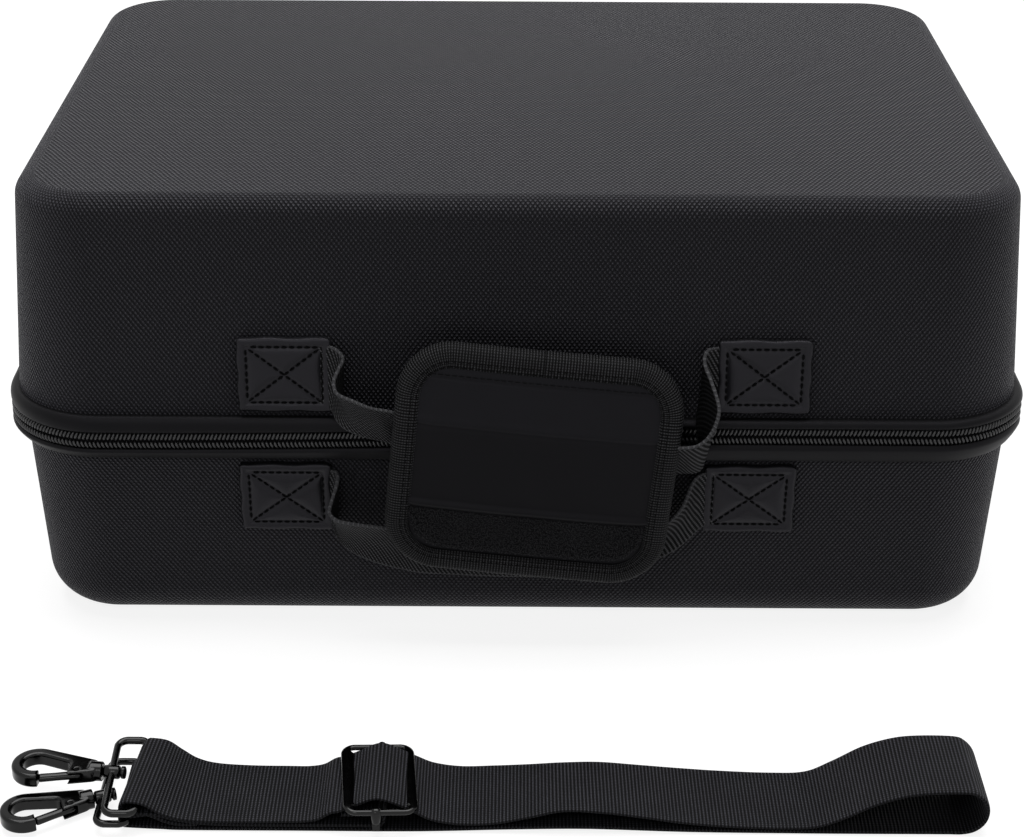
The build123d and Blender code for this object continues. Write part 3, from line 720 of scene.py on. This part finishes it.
for side, sign in (("left", -1), ("right", 1)):
    low, high = node_box(f"{side}_side_patch")
    face = side_face(sign, *((low + high) / 2)[1:])
    sewn_patch(f"{side}_side_leather", face, *((high - low) / 2)[1:], side_patch_lift, side_seam_inset,
               "base", f"{side}_side_patch")


# Webbing
def ribbon(name, one_edge, other_edge, width, thickness, curl, pitch, slant, *materials):
    """Ribbed webbing between two selvage lines; curl bows its middle out of the plane between them.

    A second material goes on the inside, short of the selvages; on the handles it is a darker copy of the
    webbing that paints their inner faces in shade.
    """
    span_steps, rib_steps, edge_power = 24, 4, 30
    lines = [smooth_line(line, span_steps) for line in (one_edge, other_edge, np.reshape(curl, (-1, 1)))]
    run = travelled((lines[0] + lines[1]) / 2)
    s = np.linspace(0, run[-1], int(run[-1] / pitch * rib_steps) + 1)
    one, other, bow = (carried(s, run, line) for line in lines)
    face_out = unit(np.cross(one - other, (1.0, 0.0, 0.0)))
    w = np.sin(np.linspace(-pi / 2, pi / 2, 19))
    blend = ((1 + w) / 2)[:, None]
    sheet = other[:, None] * (1 - blend) + one[:, None] * blend
    sheet = sheet + (face_out * bow)[:, None] * (1 - w**2)[:, None]
    normal = unit(np.cross(np.gradient(sheet, axis=1), np.gradient(sheet, axis=0)))
    phase = (s[:, None] + slant * w * width / 2) / pitch
    # The ribs fade into a flat selvage
    fade = 1 - ease((np.abs(w) - 0.86) / 0.08)
    ridge = rib_height * (np.abs(np.cos(pi * phase)) - 0.6) * fade
    half = (thickness / 2 + ridge) * np.sqrt(np.maximum(1 - np.abs(w) ** edge_power, 0))
    inside, outside = sheet + normal * half[..., None], sheet - normal * half[..., None]
    section = np.concatenate([inside, outside[:, -2:0:-1]], 1)
    place = np.concatenate([w, w[-2:0:-1], w[:1]]) * width / 2
    # Inner faces take the last material, which on the handles is their painted shade.
    on_inside = np.arange(section.shape[1])
    on_inside = (on_inside > 1) & (on_inside < len(w) - 3)
    slots = np.tile(on_inside * (len(materials) - 1), len(s) - 1)
    skin = Skin()
    skin.grid(section, np.stack(np.meshgrid(place, s), -1)[..., ::-1], around=True, slot=slots)
    for end in (0, -1):
        skin.grid(np.stack([inside[end], outside[end]]))
    return skin.make(name, *materials, weld=0.002, outward=True), s[-1]


def handle_edge(sewn_z, right, *points):
    """A handle's edge between its patches through (x, distance off the wall, height) points."""
    ends = (-96, 1.0, sewn_z), (-84, 1.5, sewn_z), (right, 1.5, sewn_z), (96, 1.0, sewn_z)
    return [(x, front_face(0, z).origin[1] - off, z) for x, off, z in (*ends[:2], *points, *ends[2:])]


# The handles' edges, and how far each handle bows out between them
upper_top = handle_edge(
    142.5, 86, (-78.5, 4, 142.5), (-74.5, 7, 139.5), (-76.5, 10, 135.5), (-78.5, 13, 131), (-77, 16, 127),
    (-70, 17, 124), (-63, 16, 120.5), (-54, 13.4, 117.5), (-38, 12.6, 113.5), (8, 12.6, 110),
    (48, 12.6, 106), (62, 14, 103.5), (70, 17.5, 103.5), (77, 20, 105.5), (82, 21, 110), (85.5, 20.5, 116.5),
    (86.5, 18.5, 123), (83.5, 13.5, 131.5), (80.5, 8, 138), (81.5, 4, 142))
upper_foot = handle_edge(
    114.5, 87, (-80, 2.6, 112), (-78, 4, 108), (-74.5, 4.8, 104.8), (-69.5, 5.2, 102.6), (-64, 5.4, 101),
    (-58.5, 5.4, 99.8), (-52.5, 5.6, 98.2), (-46, 6, 96), (-36, 8, 92), (8, 12, 83),
    (46, 11, 79), (62, 8, 81), (72, 6, 83.5), (77.5, 6, 83.8), (81, 6, 86.1), (80.7, 6, 94.8),
    (78.5, 5, 103.8), (78.5, 4, 111), (80.3, 3, 114), (83, 2.4, 114.8))
lower_top = handle_edge(
    82, 86, (-79, 4, 82), (-79, 8, 78), (-81, 13, 72.5), (-82, 17, 68), (-78, 19, 65),
    (-70, 18.5, 63), (-62, 16.5, 60.8), (-52, 14, 58), (-38, 13, 55), (8, 12.6, 53),
    (42, 13, 52), (53, 13.5, 54), (62, 14, 58.5), (69, 13.6, 64), (73.5, 12, 69.5), (76, 9, 75),
    (78, 6, 79), (81, 3.5, 81.5))
lower_foot = handle_edge(
    54, 87, (-81, 3.5, 53), (-80.5, 6, 51), (-79, 7.6, 48.5), (-76.5, 8.4, 45.5), (-72, 8.8, 42),
    (-66, 9, 38.8), (-59, 9.2, 36.2), (-50, 9.5, 34), (-38, 10, 32.5), (8, 11, 31.5),
    (40, 10.6, 33), (50, 10.4, 35), (59, 10, 38), (66, 9.4, 41.5), (72, 8.2, 45), (76.5, 6.5, 48.5),
    (80, 4.5, 51.5), (83, 2.8, 53.5))
upper_curl = [0, 0, 0.5, 1, 1, 1, 1, 1, 1, 1, 0, 0, 1, 1, 0, -1, -1, 0, 2, 3, 2, 1, 0, 0]
lower_curl = [0, 0, 1, 2, 3, 3, 3, 3, 3, 2, 1, 0, 1, 2, 3, 3, 3, 2, 1, 1, 0, 0]

for which, body, top, foot, curl in (("upper", "lid", upper_top, upper_foot, upper_curl),
                                     ("lower", "base", lower_top, lower_foot, lower_curl)):
    loop, length = ribbon(f"{which}_handle", top, foot, handle_width, handle_thickness, curl,
                          handle_rib, handle_slant, handle_tape, handle_inside_painted_shade)
    settle(loop, body, "handle_web", f"{which}_handle_webbing")


# Grip pad
pad_half_a, pad_corner = 62.0, 24.0
pad_up, pad_down, pad_thickness = 35.0, 72.0, 6.0
pad_half_b, pad_rise = (pad_up + pad_down) / 2, (pad_up - pad_down) / 2
pad_tilt = radians(5.6)
pad_lean_in, pad_hang_in, pad_cup, crease_soft = 9.0, 4.0, 1.6, 3.0
binding_width = 10.0
crease_y = node_box("grip_pad")[0][1]
pad_face = Face((9, crease_y, 109), (cos(pad_tilt), 0, -sin(pad_tilt)),
                (sin(pad_tilt), 0, cos(pad_tilt)))


def pad_at(a, b, h):
    """A point of the pad: b is from the crease, h in front of the pad's face."""
    softened = np.sqrt(b * b + crease_soft * crease_soft)
    lean = pad_lean_in * ((b + softened) / 2) / pad_up + pad_hang_in * ((softened - b) / 2) / pad_down
    cup = pad_cup * np.square(a / pad_half_a)
    return pad_face.at(a, b, h - lean - cup)


def round_pad(outline, h):
    """Points of an outline about the pad's middle."""
    return pad_at(outline[:, 0], outline[:, 1] + pad_rise, h)


def pad_binding():
    """Ribbed tape folded over the pad's edge."""
    skin = Skin()
    path = perimeter((pad_half_a, pad_half_b), pad_corner, binding_rib / 4, 116)
    fold = [(10.2, -6.4), (8.0, -7.0), (4.5, -7.1), (1.6, -6.2), (0.2, -4.4), (-0.1, -2.8), (0.4, -1.0),
            (1.9, 0.5), (4.6, 1.0), (7.2, 0.8), (9.3, 0.5), (10.2, -0.5)]
    line = smooth_line(fold, 3)
    side = np.gradient(line, axis=0)
    side = unit(np.stack([-side[:, 1], side[:, 0]], 1))
    turns = round(path[2][-1] * 2 / binding_rib)
    rib = 0.09 * np.cos(2 * pi * turns * (path[2][:-1] / (path[2][-1] * 2)))
    rows = []
    for (inset, h), (push_in, push_out) in zip(line, side):
        outline = path[0] + path[1] * (pad_corner - inset - push_in * rib)[:, None]
        rows.append(round_pad(outline, h + push_out * rib))
    weave = np.stack(np.meshgrid(path[2], travelled(np.pad(line, ((0, 0), (0, 1))))), -1)
    skin.grid(rows, weave, around=True, flip=True)
    return skin.make("grip_edge_binding", binding_tape)


def pad_facing():
    """Cushioned facing inside the binding: crease, lap seam and a raised hem over the loop strip."""
    skin = Skin()
    tuck, flap_start = 0.6, 0.3
    half_a, half_b = pad_half_a - binding_width + tuck, pad_half_b - binding_width + tuck
    a, b = np.meshgrid(np.linspace(-half_a, half_a, 90), np.linspace(-half_b, half_b, 130))
    edge = np.minimum(half_a - np.abs(a), half_b - np.abs(b))
    a, b = clipped(a, b, half_a, half_b, pad_corner - binding_width)
    up = b + pad_rise
    pillow = 0.9 * (1 - np.exp(-np.maximum(edge, 0) / 5.0))
    crease = -0.6 * bell(up) + 0.25 * bell((up - 2.6) / 1.6)
    lap = 0.45 * ease((up - 21.4) / 0.8) - 0.35 * bell((up - 20.9) / 0.5)
    hem_middle, hem_half, hem_height = -38.5, 2.0, 1.4
    hem = hem_height * np.sqrt(np.maximum(1 - np.square((up - hem_middle) / hem_half), 0))
    under = -0.6 * ease((hem_middle - up) / 1.5)
    wrinkle = 0.10 * np.sin(a * 0.16 + up * 0.05) * np.sin(up * 0.11 + a * 0.03)
    # Faces above the crease take the lighter copy: painted light.
    on_flap = ((up[:-1, :-1] + up[1:, 1:]) / 2 > flap_start).ravel().astype(int)
    lay = np.stack([a, up], -1)
    skin.grid(pad_at(a, up, -0.5 + pillow + crease + lap + hem + under + wrinkle), lay, slot=on_flap)
    skin.grid(pad_at(a, up, -pad_thickness - 0.2 - 0.5 * pillow), lay, flip=True)
    return skin.make("grip_cushion", pad_cloth, pad_flap_painted_light)


def loop_strip():
    """Pile of small loops below the hem."""
    skin = Skin()
    half_a = pad_half_a - binding_width - 0.8
    low, high = -59.5, -41.0
    spread, stray = 1.05, 0.4
    loop_reach, loop_height, loop_sunk, uneven, yarn_radius = 0.55, 0.85, 0.25, 0.15, 0.17
    a, up = np.meshgrid(np.arange(-half_a, half_a, spread), np.arange(low, high, spread))
    a = (a + draw.uniform(-stray, stray, a.shape)).ravel()
    up = (up + draw.uniform(-stray, stray, up.shape)).ravel()
    corner = pad_corner - binding_width
    near_a, near_b = np.abs(a) - (half_a - corner), -(up - low) + corner
    keep = ~((near_a > 0) & (near_b > 0) & (np.hypot(near_a, near_b) > corner))
    a, up = a[keep], up[keep]
    turn = draw.uniform(0, pi, len(a))
    t = np.linspace(0, pi, 5)
    reach = loop_reach * np.cos(t)
    rise = -loop_sunk + loop_height * np.sin(t) + draw.uniform(-uneven, uneven, (len(a), 1))
    turn_a, turn_up = np.cos(turn)[:, None], np.sin(turn)[:, None]
    centres = pad_at(a[:, None] + turn_a * reach, up[:, None] + turn_up * reach, rise)
    across = np.stack([-turn_up, 0 * turn_a, turn_a], -1)
    out = unit(np.cross(across, np.gradient(centres, axis=1)))
    skin.tubes(centres, np.full(len(t), yarn_radius), out, across, 4)
    return skin.make("grip_loops", loop_pile)


def pad_sewing():
    """Two rows of thread along the binding's inner edge and one beside the lap seam."""
    skin = Skin()
    out, pitch, dash = (0, -1, 0), 3.0, 2.3
    path = perimeter((pad_half_a, pad_half_b), pad_corner, 3, 16)
    for inset in (6.6, 8.9):
        outline = path[0] + path[1] * (pad_corner - inset)
        outline = np.vstack([outline, outline[:1]])
        stitches(skin, round_pad(outline, 0.9), out, pitch, dash, 0.24)
    a = np.linspace(-52, 52, 80)
    stitches(skin, pad_at(a, np.full(len(a), 22.6), 0.95), out, pitch, dash, 0.2)
    return skin.make("grip_thread", thread)


cushion = settle(pad_facing(), "lid", "grip_cloth", "grip_pad")
settle(pad_binding(), "lid", "grip_edge", "grip_binding")
settle(loop_strip(), "lid", "loop_pile", "grip_loop_strip")
settle(pad_sewing(), "lid", "grip_edge")


# Shoulder strap
strap_low, strap_high = node_box("strap_webbing")
strap_y = (strap_low[1] + strap_high[1]) / 2
strap_width, strap_thickness = strap_high[1] - strap_low[1], 1.6
layer = strap_thickness + 0.3
adjuster_x = np.mean(node_box("strap_adjuster_bar"), 0)[0]
# Where the end loops turn round their rings, and how far the hooks on these rings are turned
ring_x = {"upper": -149.5, "lower": -153.0}
hook_yaw = {"upper": 5, "lower": -22}


def turned(x, z, radius, start, end, lean, skew=0.0, last_lean=None):
    """Strap points round an arc in side view, (x, z, far edge's lift, far edge's shift in x)."""
    angles = np.radians(np.linspace(start, end, 7))
    leans = np.linspace(lean, lean if last_lean is None else last_lean, 7)
    return [(x + radius * cos(a), z + radius * sin(a), at, skew) for a, at in zip(angles, leans)]


# The upper loop and its ring lean towards the near side
loop_lean, loop_sag = 2.4, 0.5


def strap_route():
    """The webbing from its tail in the adjuster to its end at the lower ring, as turned gives points.

    A lift or shift of 0 is left out.
    """
    floor, second = strap_thickness / 2, strap_thickness / 2 + layer
    bar_z, bar_turn = 5.3, 2.6
    top_x, top_z, low_x, low_z = ring_x["upper"], 12.7, ring_x["lower"], 5.0
    fold_x, fold_z, fold_turn = 187.0, 10.7, 9.9
    return [
        (adjuster_x - 14, bar_z + bar_turn), (adjuster_x - 6, bar_z + bar_turn),
        *turned(adjuster_x, bar_z, bar_turn, 80, -80, 0),
        (adjuster_x - 14, second), (-100, second), (-120, second + 0.4), (-133, 4.8),
        (-142, 8.4, 1.0, 1.5), *turned(top_x - 0.5, top_z - loop_sag, 3.6, 265, 95, loop_lean, 2.5),
        (-144, 14.6, loop_lean, 2.5), (-138, 10.4, loop_lean, 2), (-131, 6.9, 1.6, 1), (-122, 5.2, 0.8),
        (-108, 4.6, 0.3), (-92, 4.6, 0.1), (-84, 4.7), (-78, 5.8), (-73, 8.8), (-69, 9.8), (-63, 12.6),
        (adjuster_x, 16.0, 0.3), (-46, 13.0), (-40, 9.9), (-33, 6.4, 0.4), (-22, 4.5, 0.6), (-8, 4.9, 0.6),
        (6, 6.8, -0.6), (19, 8.8, -1.7), (34, 8.7, -1.2), (50, 7.0, -0.8), (66, 5.0, -0.2), (84, 3.5),
        (104, second), (119, 3.4), (130, 8.2, 0.6), (142, 15.0, 1.0), (154, 19.2, 1.0), (165, 20.6, 0.8),
        *turned(fold_x - fold_turn, fold_z, fold_turn, 82, -88, 0.6, last_lean=0.0),
        (172, floor), (160, floor), (120, floor), (70, floor + 0.4), (30, floor + 1.6), (0, floor + 1.2),
        (-40, floor), (-90, floor), (-130, floor), (-140, 1.2),
        *turned(low_x - 0.2, low_z, 3.1, 265, 95, 0),
        (-145, 7.2), (-138, 4.0), (-132, second), (-126, second)]


route_x, route_z, route_lift, route_shift = np.array([(*point, 0, 0)[:4] for point in strap_route()]).T
level_lay = np.zeros(len(route_x))
far_edge = np.stack([route_x + route_shift, level_lay + strap_high[1], route_z + route_lift], 1)
near_edge = np.stack([route_x - route_shift, level_lay + strap_low[1], route_z - route_lift], 1)
strap, strap_length = ribbon("shoulder_strap", far_edge, near_edge, strap_width, strap_thickness,
                             level_lay, strap_rib, 0.0, strap_tape)
settle(strap, "base", "strap_web", "strap_webbing")


def turn_about(points, centre, yaw, tilt):
    """Points yawed about Z and tilted about Y through a centre."""
    spin = Matrix.Rotation(radians(yaw), 3, "Z") @ Matrix.Rotation(radians(tilt), 3, "Y")
    return (np.asarray(points) - centre) @ np.array(spin).T + centre


def wire_rows(path, centre, bend, broad, thick):
    """Rows round a wire that is bent to a path; broad and thick are half its section."""
    rows = []
    for angle in np.linspace(0, 2 * pi, 15):
        reach = np.reshape(bend + broad * cos(angle), (-1, 1))
        rows.append(level(path[0] + path[1] * reach + centre[:2], centre[2] + thick * sin(angle)))
    return np.array(rows)


def adjuster_frame():
    """Slide buckle, a little askew: broad sides, round near and far rails, a lug on each rail."""
    low, high = node_box("strap_adjuster_frame")
    centre = (low + high) / 2
    rail, side, thick, corner = 1.3, 2.7, 1.15, 4.5
    yaw, tilt = 5, 2.5
    path = perimeter((high - low)[:2] / 2 - rail, corner, 1.5, 12)
    broad = rail + (side - rail) * np.abs(path[1][:, 0]) ** 3
    rows = wire_rows(path, centre, corner - (broad - rail), broad, thick)
    skin = Skin()
    skin.grid(turn_about(rows, centre, yaw, tilt), around=True, flip=True)
    height = np.linspace(-5.5, 1.9, 7)
    for reach in ((low - centre)[1] + rail, (high - centre)[1] - rail):
        skin.bar(centre + (0, reach, 0), (0, 0, 1), height, [1.5, 1.9, 2.1, 2.3, 2.4, 2.2, 1.3],
                 (1, 0, 0), (0, 1, 0), 14)
    return skin.make("adjuster_buckle", metal, weld=0.002)


settle(adjuster_frame(), "base", "black_metal", "strap_adjuster_frame")


def strap_ring(which, bar_x, yaw, lean):
    """Wire ring through the strap's end loop, with the boss that the hook's stem turns in."""
    low, high = node_box(f"{which}_strap_ring")
    z = (low[2] + high[2]) / 2
    wire, length, bend, play = 1.5, 12.6, 4.0, 0.8
    path = perimeter((length / 2, strap_width / 2 + play + wire), bend, 1.2, 12)
    rows = wire_rows(path, np.array([bar_x - length / 2, strap_y, z]), bend, wire, wire)
    rows[..., 2] += (rows[..., 1] - strap_y) * lean / (strap_width / 2)
    skin = Skin()
    skin.grid(rows, around=True, flip=True)
    along = np.array([-cos(yaw), sin(yaw), 0])
    skin.bar((bar_x - length, (low[1] + high[1]) / 2, z), along, [-3.3, -3.2, -2.6, 2.6, 3.2, 3.3],
             [1.6, 2.4, 2.8, 2.8, 2.4, 1.6], (-along[1], along[0], 0), (0, 0, 1), 18)
    return skin.make(f"{which}_wire_ring", metal, weld=0.002, outward=True)


def hook_gate(which, yaw):
    """The sprung arm from its pin to the hook's nose."""
    pin = np.mean(node_box(f"{which}_gate_pin"), 0)
    closed_slope, half_width, half_height = 13.7, 2.0, 1.6
    slope = radians(closed_slope - yaw)
    along = np.array([-cos(slope), -sin(slope), 0])
    out = half_width * np.array([-sin(slope), cos(slope), 0])
    skin = Skin()
    skin.bar(pin, along, [-1.9, -1.5, -0.4, 1.0, 8.0, 14.4, 15.1, 15.3],
             [0.5, 0.8, 1, 1, 0.95, 1, 0.9, 0.6], out, (0, 0, half_height), 16)
    return skin.make(f"{which}_gate_arm", metal, outward=True)


for which, lean in (("upper", loop_lean), ("lower", 0)):
    ring = strap_ring(which, ring_x[which], radians(hook_yaw[which]), lean)
    settle(ring, "base", "black_metal", f"{which}_strap_ring")
for which, yaw in hook_yaw.items():
    settle(hook_gate(which, yaw), f"{which}_gate", "black_metal", f"{which}_gate")


# Inside the lid
def lid_net():
    """Knotted net under the lid, hemmed all round."""
    low, high = node_box("lid_net_pocket")
    z = (low[2] + high[2]) / 2
    skin = Skin()
    spacing, droop, lay_gap, cord_radius, corner = 7.0, 1.2, 0.25, 0.38, 6
    up = (0.0, 0.0, 1.0)
    width, depth = high[0] - low[0], high[1] - low[1]
    for sign in (1, -1):
        for offset in np.arange(spacing - depth, width, spacing):
            x = np.linspace(max(offset, 0), min(offset + depth, width), 40)
            y = x - offset
            x, y = low[0] + x, (low[1] + y) if sign > 0 else (high[1] - y)
            sag = -droop * np.sin(pi * (x - low[0]) / width) * np.sin(pi * (y - low[1]) / depth)
            centres = np.stack([x, y, z + sag + lay_gap * sign], 1)[None]
            skin.tubes(centres, np.full(len(x), cord_radius), up, sides=4)
    hem = perimeter((width / 2, depth / 2), corner, 6, 8)
    section = [(0, -0.9), (-0.6, 0), (0, 0.9), (5, 1.0), (9, 0.9), (9.6, 0), (9, -0.9), (5, -1.0), (0, -0.9)]
    centre = (low[:2] + high[:2]) / 2
    rows = [level(hem[0] + hem[1] * (corner - i) + centre, z + h) for i, h in smooth_line(section, 3)]
    skin.grid(rows, around=True, flip=True, slot=1)
    return skin.make("lid_net", net_thread, smooth_cloth("net_hem", grey(0.008), grey(0.016)))


settle(lid_net(), "lid", "net_mesh", "lid_net_pocket")


# Hard parts keep their CAD shape
def modify(node, kind, **settings):
    modifier = node.modifiers.new(kind.lower(), kind)
    for key, value in settings.items():
        setattr(modifier, key, value)


def finish_node(name, material, bevel=None, rounded=None):
    """Gives a CAD node its material, eased edges, or a fully rounded cast look."""
    node = nodes[name]
    node.data.materials.clear()
    node.data.materials.append(material)
    modify(node, "WELD", merge_threshold=0.01 * MM)
    if bevel:
        modify(node, "BEVEL", width=bevel * MM, segments=3, limit_method="ANGLE",
               angle_limit=radians(35), harden_normals=True)
    if rounded:
        modify(node, "REMESH", mode="VOXEL", voxel_size=rounded * MM, use_smooth_shade=True)
        modify(node, "SMOOTH", factor=0.5, iterations=4)


for which in ("upper", "lower"):
    finish_node(f"{which}_zip_tape", tape_cloth)
    finish_node(f"{which}_hook", metal, rounded=0.35)
    finish_node(f"{which}_gate_pin", metal)
for which in ("front", "rear"):
    finish_node(f"{which}_zip_slider", metal, bevel=0.5)
    finish_node(f"{which}_zip_puller", metal, bevel=0.4)
for which in ("left", "right"):
    finish_node(f"{which}_side_tab", tab_tape)
    finish_node(f"{which}_d_ring", metal)
finish_node("strap_adjuster_bar", metal, bevel=0.6)
finish_node("grip_hook_strip", hook_tape)
finish_node("console_tray", foam, bevel=2.0)
finish_node("net_gusset", lining_cloth)


# Stage
def seen_directly(finish):
    """1 for what the camera sees, straight on or in a reflection."""
    path = finish.add("LightPath")
    seen = finish.math("MAXIMUM", path.outputs["Is Camera Ray"], path.outputs["Is Glossy Ray"])
    return finish.math("MAXIMUM", seen, path.outputs["Is Transmission Ray"])


class Stage(Finish):
    """The same node helpers on another node tree."""

    def __init__(self, tree):
        self.tree = tree


floor_mesh = bpy.data.meshes.new("floor")
reach = 12.0
floor_corners = [(-reach, -reach, 0), (reach, -reach, 0), (reach, reach, 0), (-reach, reach, 0)]
floor_mesh.from_pydata(floor_corners, [], [(0, 1, 2, 3)])
floor = stand("floor", floor_mesh)
floor_material = bpy.data.materials.new("pale_floor")
floor_material.use_nodes = True
paper = Stage(floor_material.node_tree)
paper.tree.nodes.clear()
white = (1, 1, 1, 1)
shadowed = paper.add("BsdfDiffuse", (0.26, 0.26, 0.26, 1)).outputs[0]
glow = paper.add("Emission", white, 0.86).outputs[0]
shown_floor = paper.add("AddShader", shadowed, glow).outputs[0]
bounce = paper.add("BsdfDiffuse", (0.8, 0.8, 0.8, 1)).outputs[0]
paper.add("OutputMaterial", paper.add("MixShader", seen_directly(paper), bounce, shown_floor).outputs[0])
floor_mesh.materials.append(floor_material)

world = bpy.data.worlds.new("studio")
bpy.context.scene.world = world
world.use_nodes = True
sky = Stage(world.node_tree)
ambient, shown = 0.12, 1.0
backdrop = world.node_tree.nodes["Background"]
backdrop.inputs["Color"].default_value = white
sky.plug(backdrop.inputs["Strength"], sky.scaled(seen_directly(sky), shown - ambient, ambient))


def softbox(name, place, aim, size, power):
    """An area lamp, in metres and watts."""
    lamp = bpy.data.lights.new(name, "AREA")
    lamp.shape = "RECTANGLE"
    lamp.size, lamp.size_y = size
    lamp.energy = power
    holder = stand(name, lamp)
    holder.location = place
    holder.rotation_euler = (Vector(aim) - Vector(place)).to_track_quat("-Z", "Y").to_euler()


softbox("overhead", (0.0, 0.25, 1.7), (0, 0, 0.1), (1.8, 1.4), 42)
softbox("front_fill", (-0.4, -1.5, 1.3), (0, -0.1, 0.1), (0.6, 0.45), 3.5)

# Camera
focal_pixels, image_width, sensor = 2244.0, 1024, 36.0
eye = Vector((-1.17, -1041.0, 539.6)) * MM
pitch, yaw, roll = 0.4565, -0.0009, -0.0051
ahead = Vector((sin(yaw) * cos(pitch), cos(yaw) * cos(pitch), -sin(pitch)))
flat_right = Vector((cos(yaw), -sin(yaw), 0))
flat_down = ahead.cross(flat_right)
right = flat_right * cos(roll) + flat_down * sin(roll)
down = flat_down * cos(roll) - flat_right * sin(roll)
lens = bpy.data.cameras.new("camera")
lens.lens = focal_pixels / image_width * sensor
lens.sensor_width = sensor
camera = stand("camera", lens)
camera.matrix_world = Matrix((right, -down, -ahead)).transposed().to_4x4()
camera.location = eye
bpy.context.scene.camera = camera
bpy.context.scene.view_settings.view_transform = "Standard"

bpy.context.view_layer.update()
